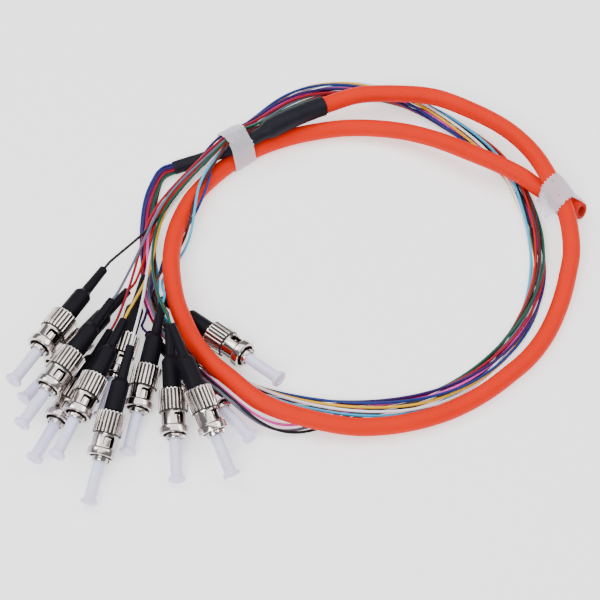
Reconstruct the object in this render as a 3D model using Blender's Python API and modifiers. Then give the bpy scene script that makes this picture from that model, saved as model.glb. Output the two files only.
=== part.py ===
"""Multi-fibre pigtail: a short length of orange trunk cable lying in a loop, with the twelve fibres
that come out of its heat-shrink sleeve, each ending in a bayonet connector with a boot, a coupling
nut and a dust cap. Two bands of tape hold the loop together. Metres, +Z up, floor at Z = 0."""

import math

import bmesh
import bpy
import numpy as np
from mathutils import Matrix, Vector

# Middle of the finished object's outline in the coordinates of the routes below, which run about
# the loop as it was laid out. Everything is moved so that this point becomes the origin.
LAYOUT_ORIGIN = (0.00251, 0.00632, 0.0)

# Clearance between pieces that touch
CLEARANCE = 0.0003

# Trunk cable
TRUNK_RADIUS = 0.0029
TRUNK_BORE_RADIUS = 0.0018
TRUNK_BORE_DEPTH = 0.0060
TRUNK_POINT_SPACING = 0.0110

# Heat-shrink sleeve over the trunk's end
SLEEVE_WALL = 0.0003
SLEEVE_RADIUS = TRUNK_RADIUS + CLEARANCE + SLEEVE_WALL
SLEEVE_NECK_RADIUS = 0.00235
SLEEVE_TRUNK_POINTS = 3
SLEEVE_POINT_SPACING = 0.0055

# Fibres
FIBRE_RADIUS = 0.00045
FIBRE_SPACING = 0.00115
FIBRE_MIN_GAP = 0.00018
FIBRE_POINT_SPACING_FINE = 0.0080
FIBRE_POINT_SPACING_LOOP = 0.0160
LOOP_SIDE_X = -0.0050
FIBRE_POINT_SPACING_END = 0.0050
FIBRE_END_REACH = 0.0160
STRAIGHT_AT_END = 0.0026

# Connector, along its own axis from the middle of the coupling nut towards the ferrule
NUT_HALF_LENGTH = 0.0072
NUT_GRIP_RADIUS = 0.0046
NUT_GRIP_LENGTH = 0.0075
NUT_NECK_RADIUS = 0.0042
NUT_FLANGE_RADIUS = 0.00465
NUT_FLANGE_LENGTH = 0.0023
NUT_BORE_RADIUS = 0.0035
NUT_SHOULDER_LENGTH = 0.0030
NUT_WINDOW_WIDTH = 0.0030
NUT_WINDOW_LENGTH = 0.0028
NUT_WINDOW_FROM_FLANGE = 0.0008
NUT_WINDOW_TURN = 60.0
NUT_SIDES = 12
HOUSING_RADIUS = 0.0027
HOUSING_BORE_RADIUS = 0.00225
HOUSING_PROUD = 0.0015
HOUSING_BORE_DEPTH = 0.0050
FERRULE_RADIUS = 0.00125
FERRULE_PROUD = 0.0055
FERRULE_CHAMFER = 0.0003
BOOT_RADIUS = 0.0030
BOOT_LENGTH = 0.0093
BOOT_SHOULDER_LENGTH = 0.0016
BOOT_TAIL_RADIUS = 0.00165
BOOT_TAIL_END_RADIUS = 0.00140
BOOT_TAIL_LENGTH = 0.0106
BODY_SIDES = 10
CAP_RADIUS = 0.00195
CAP_LENGTH = 0.0180
CAP_FLANGE_RADIUS = 0.0027
CAP_FLANGE_LENGTH = 0.0013
CAP_SIDES = 10

# Tape bands
TAPE_THICKNESS = 0.00030
TAPE_ONE_WIDTH = 0.0080
TAPE_ONE_MIDDLE = (-0.0210, 0.0561, 0.0)
TAPE_ONE_HEADING = 33.0
TAPE_TWO_WIDTH = 0.0100
TAPE_TWO_MIDDLE = (0.0860, 0.0355, 0.0)
TAPE_TWO_HEADING = -50.0
TAPE_SIDES = 24
TAPE_REACH = 0.0120
TAPE_MARGIN = 0.0010
TAPE_LOOKS_PER_SEGMENT = 16

# The trunk's route from inside the sleeve, once round the loop and on to its cut end
TRUNK_ROUTE = (
    (-0.0101, 0.0618, 0.0101), (-0.0037, 0.0660, 0.0098), (0.0028, 0.0706, 0.0083),
    (0.0103, 0.0748, 0.0070), (0.0197, 0.0782, 0.0072), (0.0328, 0.0784, 0.0079),
    (0.0458, 0.0768, 0.0081),
    (0.0580, 0.0711, 0.0082), (0.0695, 0.0628, 0.0088), (0.0777, 0.0521, 0.0100),
    (0.0831, 0.0397, 0.0108), (0.0874, 0.0281, 0.0094), (0.0886, 0.0151, 0.0064),
    (0.0869, 0.0064, 0.0045), (0.0842, -0.0028, 0.0033), (0.0791, -0.0143, 0.0030),
    (0.0731, -0.0229, 0.0029), (0.0661, -0.0296, 0.0029), (0.0575, -0.0365, 0.0029),
    (0.0470, -0.0425, 0.0029), (0.0362, -0.0463, 0.0030), (0.0257, -0.0483, 0.0033),
    (0.0155, -0.0487, 0.0039), (0.0000, -0.0460, 0.0055), (-0.0127, -0.0414, 0.0070),
    (-0.0212, -0.0344, 0.0081), (-0.0278, -0.0287, 0.0089), (-0.0327, -0.0224, 0.0093),
    (-0.0369, -0.0137, 0.0094), (-0.0396, -0.0058, 0.0093), (-0.0413, 0.0039, 0.0088),
    (-0.0418, 0.0126, 0.0077), (-0.0408, 0.0227, 0.0062), (-0.0386, 0.0308, 0.0050),
    (-0.0358, 0.0373, 0.0043), (-0.0307, 0.0446, 0.0038), (-0.0241, 0.0514, 0.00368),
    (-0.0169, 0.0569, 0.00358), (-0.0075, 0.0618, 0.0032), (0.0028, 0.0652, 0.0030),
    (0.0166, 0.0671, 0.0034), (0.0326, 0.0652, 0.0046), (0.0453, 0.0604, 0.0062),
    (0.0578, 0.0533, 0.0077), (0.0666, 0.0486, 0.0078), (0.0741, 0.0447, 0.0066),
    (0.0796, 0.0408, 0.0053), (0.0870, 0.0363, 0.0042), (0.0946, 0.0318, 0.0036),
)

# The sleeve's narrow neck, on from the step at the jacket's end
NECK_ROUTE = (
    (-0.0158, 0.0582, 0.0093), (-0.0202, 0.0555, 0.0091), (-0.0243, 0.0541, 0.0086),
    (-0.0286, 0.0539, 0.0063), (-0.0325, 0.0534, 0.0044), (-0.0371, 0.0526, 0.0031),
    (-0.0426, 0.0508, 0.0026),
)

# The middle of the fibre bundle: from the neck, down the left side, round the loop and back to
# the first tape
BUNDLE_FIRST_LEFT = (
    (-0.0492, 0.0440, 0.0026), (-0.0505, 0.0360, 0.0026), (-0.0505, 0.0270, 0.0026),
    (-0.0500, 0.0180, 0.0026), (-0.0488, 0.0080, 0.0026),
)
BUNDLE_UNDER_TRUNK = (
    (-0.0481, -0.0020, 0.0026), (-0.0444, -0.0106, 0.0026), (-0.0374, -0.0184, 0.0026),
    (-0.0287, -0.0260, 0.0026), (-0.0190, -0.0320, 0.0026), (-0.0094, -0.0368, 0.0026),
    (0.0031, -0.0399, 0.0026),
)
BUNDLE_OUTSIDE_TRUNK = (
    (-0.0487, -0.0010, 0.0060), (-0.0455, -0.0125, 0.0080), (-0.0392, -0.0252, 0.0106),
    (-0.0325, -0.0330, 0.0112), (-0.0238, -0.0410, 0.0108), (-0.0170, -0.0460, 0.0076),
    (-0.0093, -0.0493, 0.0036), (0.0000, -0.0490, 0.0012), (0.0078, -0.0460, 0.0010),
)
BUNDLE_LOOP = (
    (0.0156, -0.0417, 0.0026), (0.0282, -0.0410, 0.0026), (0.0408, -0.0381, 0.0026),
    (0.0537, -0.0313, 0.0026), (0.0653, -0.0203, 0.0026), (0.0734, -0.0072, 0.0026),
    (0.0778, 0.0062, 0.0026), (0.0782, 0.0218, 0.0026), (0.0755, 0.0355, 0.0026),
    (0.0723, 0.0469, 0.0026), (0.0661, 0.0565, 0.0026), (0.0580, 0.0640, 0.0026),
    (0.0480, 0.0721, 0.0026), (0.0379, 0.0786, 0.0026), (0.0277, 0.0829, 0.0026),
    (0.0173, 0.0847, 0.0026), (0.0069, 0.0838, 0.0026), (-0.0035, 0.0790, 0.0030),
    (-0.0120, 0.0696, 0.0050),
)
BUNDLE_AT_TAPE = ((-0.0180, 0.0626, 0.0076), (-0.0212, 0.0576, 0.0118), (-0.0255, 0.0526, 0.0125))

# How the fibres settle
TWIST_PER_METRE = 6.0
SETTLE_ROUNDS = 420
SINKING_SHARE = 0.75
SINK_PER_ROUND = 0.00002
EVENING_SHARE = 0.5
ROUNDS_PER_LOOK = 12
LOOK_REACH = 0.0020
FLOOR_GAP = 0.00003
SEGMENTS_BESIDE = 4
SEGMENTS_AT_END = 2
SMOOTH_STEPS = 14


def smooth_line(points):
    """Dense points on a centripetal Catmull-Rom curve through the given ones."""
    knots = np.array(points, float)
    padded = np.array([2 * knots[0] - knots[1], *knots, 2 * knots[-1] - knots[-2]])
    dense = []
    for p0, p1, p2, p3 in zip(padded, padded[1:], padded[2:], padded[3:]):
        steps = [math.sqrt(np.linalg.norm(b - a)) for a, b in ((p0, p1), (p1, p2), (p2, p3))]
        t0, t1, t2, t3 = np.cumsum([0.0, *steps])
        t = np.linspace(t1, t2, SMOOTH_STEPS, endpoint=False)[:, None]
        a1 = (t1 - t) / (t1 - t0) * p0 + (t - t0) / (t1 - t0) * p1
        a2 = (t2 - t) / (t2 - t1) * p1 + (t - t1) / (t2 - t1) * p2
        a3 = (t3 - t) / (t3 - t2) * p2 + (t - t2) / (t3 - t2) * p3
        b1 = (t2 - t) / (t2 - t0) * a1 + (t - t0) / (t2 - t0) * a2
        b2 = (t3 - t) / (t3 - t1) * a2 + (t - t1) / (t3 - t1) * a3
        dense.extend((t2 - t) / (t2 - t1) * b1 + (t - t1) / (t2 - t1) * b2)
    dense.append(knots[-1])
    return np.array(dense)


def spaced_line(dense, spacing):
    """Points along the dense line, as far apart as spacing says at each place."""
    steps = np.linalg.norm(np.diff(dense, axis=0), axis=1)
    middles = (dense[1:] + dense[:-1]) / 2
    effort = np.concatenate([[0.0], np.cumsum(steps / np.array([spacing(m) for m in middles]))])
    count = int(math.ceil(effort[-1])) + 1
    wanted = np.linspace(0.0, effort[-1], count)
    return np.stack([np.interp(wanted, effort, dense[:, i]) for i in range(3)], axis=1)


def closest(p0, p1, q0, q1):
    """Where along each pair of segments the two come closest, as shares of their lengths."""
    d1, d2, r = p1 - p0, q1 - q0, p0 - q0
    a, e, f = (d1 * d1).sum(1), (d2 * d2).sum(1), (d2 * r).sum(1)
    b, c = (d1 * d2).sum(1), (d1 * r).sum(1)
    denominator = np.maximum(a * e - b * b, 1e-18)
    s = np.clip((b * f - c * e) / denominator, 0.0, 1.0)
    t = np.clip((b * s + f) / e, 0.0, 1.0)
    s = np.clip((b * t - c) / a, 0.0, 1.0)
    return s, t


class Strands:
    """Fibres as chains of points among round obstacles, all as segments with a radius."""

    def __init__(self, lines, obstacles):
        self.starts = np.cumsum([0, *(len(line) for line in lines)])
        self.points = np.concatenate(lines)
        self.mobile = np.ones(len(self.points))
        for start, stop in zip(self.starts, self.starts[1:]):
            self.mobile[[start, start + 1, stop - 2, stop - 1]] = 0.0
        self.rest = self.points.copy()
        self.fibre_points = len(self.points)
        first, owner, radius, at_end = [], [], [], []
        for k, (start, stop) in enumerate(zip(self.starts, self.starts[1:])):
            first.extend(range(start, stop - 1))
            owner.extend([k] * (stop - start - 1))
            radius.extend([FIBRE_RADIUS] * (stop - start - 1))
            free = stop - start - 1 - SEGMENTS_AT_END
            at_end.extend([False] * free + [True] * SEGMENTS_AT_END)
        self.fibre_segments = len(first)
        self.at_end = np.array(at_end)
        extra = []
        for fibre, line, thick in obstacles:
            base = self.fibre_points + len(extra)
            extra.extend(line)
            first.extend(range(base, base + len(line) - 1))
            owner.extend([-1 - fibre] * (len(line) - 1))
            radius.extend(thick)
        self.points = np.concatenate([self.points, np.array(extra)])
        self.mobile = np.concatenate([self.mobile, np.zeros(len(extra))])
        self.first, self.owner = np.array(first), np.array(owner)
        self.radius = np.array(radius)

    def neighbours(self):
        """Pairs of segments near enough to touch in the next rounds: a fibre's first, then any."""
        a, b = self.points[self.first], self.points[self.first + 1]
        middle, half = (a + b) / 2, np.linalg.norm(b - a, axis=1) / 2
        n = self.fibre_segments
        apart = np.linalg.norm(middle[:n, None] - middle[None], axis=2)
        reach = half[:n, None] + half[None] + self.radius[:n, None] + self.radius[None] + LOOK_REACH
        i, j = np.nonzero(apart < reach)
        beside = (self.owner[i] == self.owner[j]) & (np.abs(i - j) < SEGMENTS_BESIDE)
        own_boot = (self.owner[j] == -1 - self.owner[i]) & self.at_end[i]
        keep = (j > i) & ~beside & ~own_boot
        return i[keep], j[keep]

    def push(self, i, j):
        """Moves apart each pair that is too close."""
        a, b = self.first[i], self.first[j]
        p0, p1, q0, q1 = (self.points[k] for k in (a, a + 1, b, b + 1))
        s, t = closest(p0, p1, q0, q1)
        apart = (p0 + (p1 - p0) * s[:, None]) - (q0 + (q1 - q0) * t[:, None])
        distance = np.maximum(np.linalg.norm(apart, axis=1), 1e-7)
        lack = self.radius[i] + self.radius[j] + FIBRE_MIN_GAP - distance
        hit = lack > 0
        move, weight = np.zeros_like(self.points), np.zeros(len(self.points))
        for ends, along, sign, other in (((a, a + 1), s, 1.0, b), ((b, b + 1), t, -1.0, a)):
            both = np.where(self.mobile[other] + self.mobile[other + 1] > 0, 0.5, 1.0)
            for end, part in zip(ends, (1 - along, along)):
                amount = sign * both * lack * part / (part**2 + (1 - part) ** 2)
                step = (apart / distance[:, None]) * amount[:, None]
                np.add.at(move, end[hit], step[hit] * part[hit, None])
                np.add.at(weight, end[hit], part[hit])
        self.points += move / np.maximum(weight, 1.0)[:, None] * self.mobile[:, None]

    def even_out(self):
        """Evens out how far each point has moved along its own fibre."""
        for start, stop in zip(self.starts, self.starts[1:]):
            moved = self.points[start:stop] - self.rest[start:stop]
            mean = (moved[2:] + moved[:-2]) / 2
            step = EVENING_SHARE * (mean - moved[1:-1]) * self.mobile[start + 1 : stop - 1, None]
            self.points[start + 1 : stop - 1] += step

    def settle(self):
        """Sinks the fibres onto what lies under them and pushes apart what touches."""
        n = self.fibre_points
        lowest = FIBRE_RADIUS + FLOOR_GAP
        for turn in range(SETTLE_ROUNDS):
            if turn % ROUNDS_PER_LOOK == 0:
                i, j = self.neighbours()
            if turn <= SETTLE_ROUNDS * SINKING_SHARE:
                self.points[:n, 2] -= SINK_PER_ROUND * self.mobile[:n]
                self.even_out()
            self.push(i, j)
            self.points[:n, 2] = np.where(
                self.mobile[:n] > 0, np.maximum(self.points[:n, 2], lowest), self.points[:n, 2]
            )
        return [self.points[a:b] for a, b in zip(self.starts, self.starts[1:])]


# Each connector: name, colour of its fibre, middle of its nut, heading in degrees, rise per metre
# along its axis, whether its fibre stays outside the trunk, and its fibre's own way from the tape
CONNECTORS = (
    ("black", "#15151A", (-0.0777, -0.0199, 0.0129), -120.4, 0.072, True,
     ((-0.0400, 0.0395, 0.0078), (-0.0467, 0.0268, 0.0086), (-0.0526, 0.0185, 0.0100))),
    ("slate", "#8A8F9C", (-0.0742, -0.0341, 0.0134), -120.8, -0.048, True,
     ((-0.0420, 0.0385, 0.0080), (-0.0478, 0.0260, 0.0088), (-0.0520, 0.0120, 0.0110))),
    ("pink", "#E8A0C8", (-0.0568, -0.0241, 0.0054), -103.8, -0.103, True,
     ((-0.0410, 0.0380, 0.0080), (-0.0482, 0.0250, 0.0082))),
    ("orange", "#D9381E", (-0.0732, -0.0224, 0.0047), -127.4, 0.0, False,
     ((-0.0400, 0.0395, 0.0080), (-0.0470, 0.0280, 0.0085), (-0.0498, 0.0140, 0.0078))),
    ("red", "#C41E3A", (-0.0726, -0.0408, 0.0047), -114.7, 0.006, False,
     ((-0.0410, 0.0400, 0.0078), (-0.0480, 0.0285, 0.0080), (-0.0520, 0.0130, 0.0070),
      (-0.0560, -0.0020, 0.0050))),
    ("yellow", "#E0B95A", (-0.0661, -0.0424, 0.0119), -111.6, -0.043, False,
     ((-0.0400, 0.0390, 0.0080), (-0.0460, 0.0260, 0.0088), (-0.0485, 0.0120, 0.0100),
      (-0.0508, -0.0010, 0.0122))),
    ("white", "#E8E4EC", (-0.0593, -0.0543, 0.0088), -103.8, -0.285, False,
     ((-0.0410, 0.0370, 0.0078), (-0.0475, 0.0240, 0.0080), (-0.0488, 0.0080, 0.0110),
      (-0.0497, -0.0080, 0.0150))),
    ("aqua", "#8CC8DC", (-0.0491, -0.0364, 0.0064), -101.0, -0.170, False,
     ((-0.0320, 0.0443, 0.0092), (-0.0354, 0.0357, 0.0086), (-0.0362, 0.0280, 0.0078),
      (-0.0364, 0.0214, 0.0056), (-0.0381, 0.0170, 0.0025), (-0.0422, 0.0117, 0.0014),
      (-0.0452, 0.0063, 0.0040), (-0.0451, 0.0010, 0.0086))),
    ("brown", "#6B2420", (-0.0392, -0.0457, 0.0074), -85.9, -0.218, False,
     ((-0.0330, 0.0420, 0.0080), (-0.0363, 0.0336, 0.0084), (-0.0371, 0.0247, 0.0072),
      (-0.0388, 0.0198, 0.0028), (-0.0433, 0.0141, 0.0012), (-0.0462, 0.0070, 0.0040),
      (-0.0460, -0.0030, 0.0100))),
    ("green", "#0E6B52", (-0.0291, -0.0474, 0.0120), -66.3, -0.360, False,
     ((-0.0390, 0.0410, 0.0085), (-0.0455, 0.0300, 0.0095), (-0.0478, 0.0160, 0.0120),
      (-0.0472, 0.0020, 0.0170), (-0.0448, -0.0100, 0.0210))),
    ("violet", "#3B2A7A", (-0.0295, -0.0370, 0.0048), -48.6, 0.015, False,
     ((-0.0400, 0.0400, 0.0080), (-0.0470, 0.0290, 0.0082), (-0.0488, 0.0150, 0.0075),
      (-0.0476, 0.0030, 0.0066), (-0.0487, -0.0050, 0.0050),
      (-0.0500, -0.0100, 0.0043))),
    ("blue", "#1C4FA0", (-0.0228, -0.0199, 0.0054), -40.6, 0.100, False,
     ((-0.0283, 0.0417, 0.0085), (-0.0343, 0.0291, 0.0070), (-0.0365, 0.0252, 0.0024),
      (-0.0405, 0.0225, 0.0010), (-0.0448, 0.0180, 0.0010), (-0.0465, 0.0110, 0.0010),
      (-0.0480, 0.0060, 0.0012))),
)


def pack_slots(count):
    """Places of the fibres in a tight round bundle, one spacing apart, nearest the middle first."""
    row = math.sqrt(3) / 2
    found = []
    for i in range(-4, 5):
        for j in range(-4, 5):
            x, y = i + j / 2 - 0.5, j * row - row / 3
            found.append((round(math.hypot(x, y), 6), math.atan2(y, x), x, y))
    return [(x * FIBRE_SPACING, y * FIBRE_SPACING) for _, _, x, y in sorted(found)[:count]]


def axis_of(connector):
    """Where a connector is and which way it points, as a matrix whose X runs to the ferrule."""
    _, _, middle, heading, rise, _, _ = connector
    angle = math.radians(heading)
    ahead = Vector((math.cos(angle), math.sin(angle), rise)).normalized()
    side = Vector((0, 0, 1)).cross(ahead).normalized()
    up = ahead.cross(side)
    matrix = Matrix((ahead, side, up)).transposed().to_4x4()
    matrix.translation = Vector(middle)
    return matrix


def boot_end():
    """How far behind the nut's middle the boot's tail ends."""
    return NUT_HALF_LENGTH + CLEARANCE + BOOT_LENGTH + BOOT_SHOULDER_LENGTH + BOOT_TAIL_LENGTH


def housing_front():
    """How far before the nut's middle the housing ends."""
    return NUT_HALF_LENGTH + HOUSING_PROUD


def bore_floor():
    """Where the floor of the housing's bore is."""
    return housing_front() - HOUSING_BORE_DEPTH


def cap_mouth():
    """Where the dust cap's mouth is, pushed home in the housing's bore."""
    return bore_floor() + CLEARANCE


def lane_offset(knots, slot):
    """The knots moved to this fibre's place in the slowly turning bundle."""
    knots = np.array(knots)
    moved, run = [], 0.0
    for i, knot in enumerate(knots):
        ahead = knots[min(i + 1, len(knots) - 1)] - knots[max(i - 1, 0)]
        side = np.array([-ahead[1], ahead[0], 0.0])
        side /= np.linalg.norm(side)
        if i:
            run += np.linalg.norm(knot - knots[i - 1])
        turn = 2 * math.pi * TWIST_PER_METRE * run
        a = slot[0] * math.cos(turn) - slot[1] * math.sin(turn)
        b = slot[0] * math.sin(turn) + slot[1] * math.cos(turn)
        moved.append(knot + side * a + np.array([0.0, 0.0, b]))
    return moved


def fibre_line(connector, slot):
    """A fibre's own route, from the sleeve's neck to its boot, before the fibres settle."""
    _, _, _, _, _, outside, own_way = connector
    mouth = np.array(NECK_ROUTE[-1])
    ahead = mouth - np.array(NECK_ROUTE[-2])
    ahead /= np.linalg.norm(ahead)
    start = [mouth + ahead * CLEARANCE, mouth + ahead * (CLEARANCE + STRAIGHT_AT_END)]
    crossing = BUNDLE_OUTSIDE_TRUNK if outside else BUNDLE_UNDER_TRUNK
    bundle = [*start, *BUNDLE_FIRST_LEFT, *crossing, *BUNDLE_LOOP, *BUNDLE_AT_TAPE]
    knots = lane_offset(bundle, slot)
    place = axis_of(connector)
    before, end = (
        np.array(place @ Vector((-boot_end() - CLEARANCE - along, 0, 0)))
        for along in (STRAIGHT_AT_END, 0.0)
    )

    def spacing(where):
        if min(np.linalg.norm(where - end), np.linalg.norm(where - mouth)) < FIBRE_END_REACH:
            return FIBRE_POINT_SPACING_END
        return FIBRE_POINT_SPACING_LOOP if where[0] > LOOP_SIDE_X else FIBRE_POINT_SPACING_FINE

    way = smooth_line([*knots, *(np.array(p) for p in own_way), before, end])
    middle = spaced_line(way[SMOOTH_STEPS : len(way) - SMOOTH_STEPS], spacing)
    return np.array([knots[0], *middle, end])


def settled_fibres(trunk, sleeve, sleeve_radii):
    """The twelve fibres as they lie among the trunk, the sleeve and the connectors."""
    slots = pack_slots(len(CONNECTORS))
    lines = [fibre_line(connector, slot) for connector, slot in zip(CONNECTORS, slots)]
    # The round end of an obstacle's last segment stays short of the sleeve's flat mouth.
    last = sleeve[-1] - sleeve[-2]
    mouth = sleeve[-1] - last * SLEEVE_NECK_RADIUS / np.linalg.norm(last)
    nobody = len(CONNECTORS)
    obstacles = [
        (nobody, trunk, [TRUNK_RADIUS] * (len(trunk) - 1)),
        (nobody, [*sleeve[:-1], mouth], sleeve_radii[:-1]),
    ]
    for fibre, connector in enumerate(CONNECTORS):
        place = axis_of(connector)
        shoulder = -NUT_HALF_LENGTH - BOOT_LENGTH
        cap_end = cap_mouth() + CAP_LENGTH
        stations = (-boot_end(), shoulder, -NUT_HALF_LENGTH, NUT_HALF_LENGTH, cap_end)
        line = [np.array(place @ Vector((x, 0, 0))) for x in stations]
        thick = [BOOT_TAIL_RADIUS, BOOT_RADIUS, NUT_FLANGE_RADIUS, CAP_FLANGE_RADIUS]
        obstacles.append((fibre, line, thick))
    return Strands(lines, obstacles).settle()


def principled(name, colour, roughness, metallic=0.0):
    """A plain material in an sRGB hex colour."""
    material = bpy.data.materials.new(name)
    material.use_nodes = True
    shader = material.node_tree.nodes["Principled BSDF"]
    levels = [int(colour[i : i + 2], 16) / 255 for i in (1, 3, 5)]
    linear = [v / 12.92 if v <= 0.04045 else ((v + 0.055) / 1.055) ** 2.4 for v in levels]
    shader.inputs["Base Color"].default_value = (*linear, 1.0)
    shader.inputs["Roughness"].default_value = roughness
    shader.inputs["Metallic"].default_value = metallic
    return material


def cleared_scene():
    """Empties the file and returns the collections of the parts and of the cutters."""
    for obj in list(bpy.data.objects):
        bpy.data.objects.remove(obj)
    parts = bpy.data.collections.new("multi_fibre_pigtail")
    cutters = bpy.data.collections.new("cutters")
    for collection in (parts, cutters):
        bpy.context.scene.collection.children.link(collection)
    return parts, cutters


def tube(name, line, radii, sides_setting, collection, material=None):
    """A round bar along the line, as a curve with filled caps."""
    curve = bpy.data.curves.new(name, "CURVE")
    curve.dimensions = "3D"
    curve.bevel_depth = radii[0]
    curve.bevel_resolution = sides_setting
    curve.use_fill_caps = True
    spline = curve.splines.new("POLY")
    spline.points.add(len(line) - 1)
    for point, place, radius in zip(spline.points, line, radii):
        point.co = (*place, 1.0)
        point.radius = radius / radii[0]
    obj = bpy.data.objects.new(name, curve)
    collection.objects.link(obj)
    if material:
        curve.materials.append(material)
    return obj


def as_mesh(obj, collection):
    """The same object as a closed mesh, which a Boolean can use."""
    bpy.context.view_layer.update()
    graph = bpy.context.evaluated_depsgraph_get()
    mesh = bpy.data.meshes.new_from_object(obj.evaluated_get(graph))
    shape = bmesh.new()
    shape.from_mesh(mesh)
    bmesh.ops.remove_doubles(shape, verts=shape.verts, dist=1e-6)
    bmesh.ops.recalc_face_normals(shape, faces=shape.faces)
    shape.to_mesh(mesh)
    shape.free()
    name, matrix = obj.name, obj.matrix_world.copy()
    bpy.data.objects.remove(obj)
    solid = bpy.data.objects.new(name, mesh)
    solid.matrix_world = matrix
    mesh.name = name
    collection.objects.link(solid)
    return solid


def cut(target, cutter):
    """Takes the cutter's shape out of the target."""
    cutter.hide_render = True
    cutter.display_type = "WIRE"
    modifier = target.modifiers.new("cut_" + cutter.name, "BOOLEAN")
    modifier.operation = "DIFFERENCE"
    modifier.object = cutter


def turned(name, profile, closed, sides, place, collection, material):
    """A turned piece about the place's X axis, from (along, radius) points down its outer side."""
    mesh = bpy.data.meshes.new(name)
    shape = bmesh.new()
    verts = [shape.verts.new((radius, 0.0, along)) for along, radius in profile]
    for a, b in zip(verts, verts[1:]):
        shape.edges.new((a, b))
    if closed:
        shape.edges.new((verts[-1], verts[0]))
    shape.to_mesh(mesh)
    shape.free()
    mesh.materials.append(material)
    obj = bpy.data.objects.new(name, mesh)
    collection.objects.link(obj)
    screw = obj.modifiers.new("turn", "SCREW")
    screw.axis = "Z"
    screw.steps = screw.render_steps = sides
    screw.use_merge_vertices = True
    screw.merge_threshold = 1e-5
    screw.use_smooth_shade = False
    obj.matrix_world = place @ Matrix.Rotation(math.radians(90), 4, "Y")
    return obj


def box(name, size, place, collection):
    """A cutter box of this size."""
    mesh = bpy.data.meshes.new(name)
    shape = bmesh.new()
    bmesh.ops.create_cube(shape, size=1.0, matrix=Matrix.Diagonal((*size, 1.0)))
    shape.to_mesh(mesh)
    shape.free()
    obj = bpy.data.objects.new(name, mesh)
    obj.matrix_world = place
    collection.objects.link(obj)
    return obj


def connector_body(colour, place, collection, material):
    """Ferrule, housing and boot on one axis, joined as they are when the connector is made up."""
    ferrule_tip = housing_front() + FERRULE_PROUD
    boot_front = -NUT_HALF_LENGTH - CLEARANCE
    shoulder = boot_front - BOOT_LENGTH
    tail_start = shoulder - BOOT_SHOULDER_LENGTH
    profile = (
        (ferrule_tip, 0.0),
        (ferrule_tip, FERRULE_RADIUS - FERRULE_CHAMFER),
        (ferrule_tip - FERRULE_CHAMFER, FERRULE_RADIUS),
        (bore_floor(), FERRULE_RADIUS),
        (bore_floor(), HOUSING_BORE_RADIUS),
        (housing_front(), HOUSING_BORE_RADIUS),
        (housing_front(), HOUSING_RADIUS),
        (boot_front, HOUSING_RADIUS),
        (boot_front, BOOT_RADIUS),
        (shoulder, BOOT_RADIUS),
        (tail_start, BOOT_TAIL_RADIUS),
        (tail_start - BOOT_TAIL_LENGTH, BOOT_TAIL_END_RADIUS),
        (tail_start - BOOT_TAIL_LENGTH, 0.0),
    )
    turned("connector_body_" + colour, profile, False, BODY_SIDES, place, collection, material)


def coupling_nut(colour, place, parts, cutters, material):
    """The bayonet nut: grip, neck with its two windows, flange, and a shoulder that the housing holds."""
    grip_front = NUT_GRIP_LENGTH - NUT_HALF_LENGTH
    flange_back = NUT_HALF_LENGTH - NUT_FLANGE_LENGTH
    shoulder_front = NUT_SHOULDER_LENGTH - NUT_HALF_LENGTH
    profile = (
        (NUT_HALF_LENGTH, NUT_BORE_RADIUS),
        (NUT_HALF_LENGTH, NUT_FLANGE_RADIUS),
        (flange_back, NUT_FLANGE_RADIUS),
        (flange_back, NUT_NECK_RADIUS),
        (grip_front, NUT_NECK_RADIUS),
        (grip_front, NUT_GRIP_RADIUS),
        (-NUT_HALF_LENGTH, NUT_GRIP_RADIUS),
        (-NUT_HALF_LENGTH, HOUSING_RADIUS + CLEARANCE),
        (shoulder_front, HOUSING_RADIUS + CLEARANCE),
        (shoulder_front, NUT_BORE_RADIUS),
    )
    place = place @ Matrix.Rotation(math.radians(NUT_WINDOW_TURN), 4, "X")
    nut = turned("coupling_nut_" + colour, profile, True, NUT_SIDES, place, parts, material)
    window_middle = flange_back - NUT_WINDOW_FROM_FLANGE - NUT_WINDOW_LENGTH / 2
    size = (NUT_WINDOW_LENGTH, 2.4 * NUT_GRIP_RADIUS, NUT_WINDOW_WIDTH)
    window = box("window_" + colour, size, place @ Matrix.Translation((window_middle, 0, 0)), cutters)
    cut(nut, window)


def dust_cap(colour, place, collection, material):
    """The cap pushed over the ferrule: a blind tube with a flange at its closed end."""
    mouth = cap_mouth()
    end = mouth + CAP_LENGTH
    ferrule_tip = housing_front() + FERRULE_PROUD
    profile = (
        (end, 0.0),
        (end, CAP_FLANGE_RADIUS),
        (end - CAP_FLANGE_LENGTH, CAP_FLANGE_RADIUS),
        (end - CAP_FLANGE_LENGTH, CAP_RADIUS),
        (mouth, CAP_RADIUS),
        (mouth, FERRULE_RADIUS + CLEARANCE),
        (ferrule_tip + 2 * CLEARANCE, FERRULE_RADIUS + CLEARANCE),
        (ferrule_tip + 2 * CLEARANCE, 0.0),
    )
    turned("dust_cap_" + colour, profile, False, CAP_SIDES, place, collection, material)


def trunk_cable(line, parts, cutters, material):
    """The jacketed trunk, with the hollow that its cut end shows."""
    trunk = tube("trunk_cable", line, [TRUNK_RADIUS] * len(line), 3, parts, material)
    trunk = as_mesh(trunk, parts)
    end, ahead = line[-1], line[-1] - line[-2]
    ahead /= np.linalg.norm(ahead)
    reach = [end - ahead * TRUNK_BORE_DEPTH, end + ahead * TRUNK_BORE_DEPTH]
    bore = as_mesh(tube("trunk_bore", reach, [TRUNK_BORE_RADIUS] * 2, 3, cutters), cutters)
    cut(trunk, bore)


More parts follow.
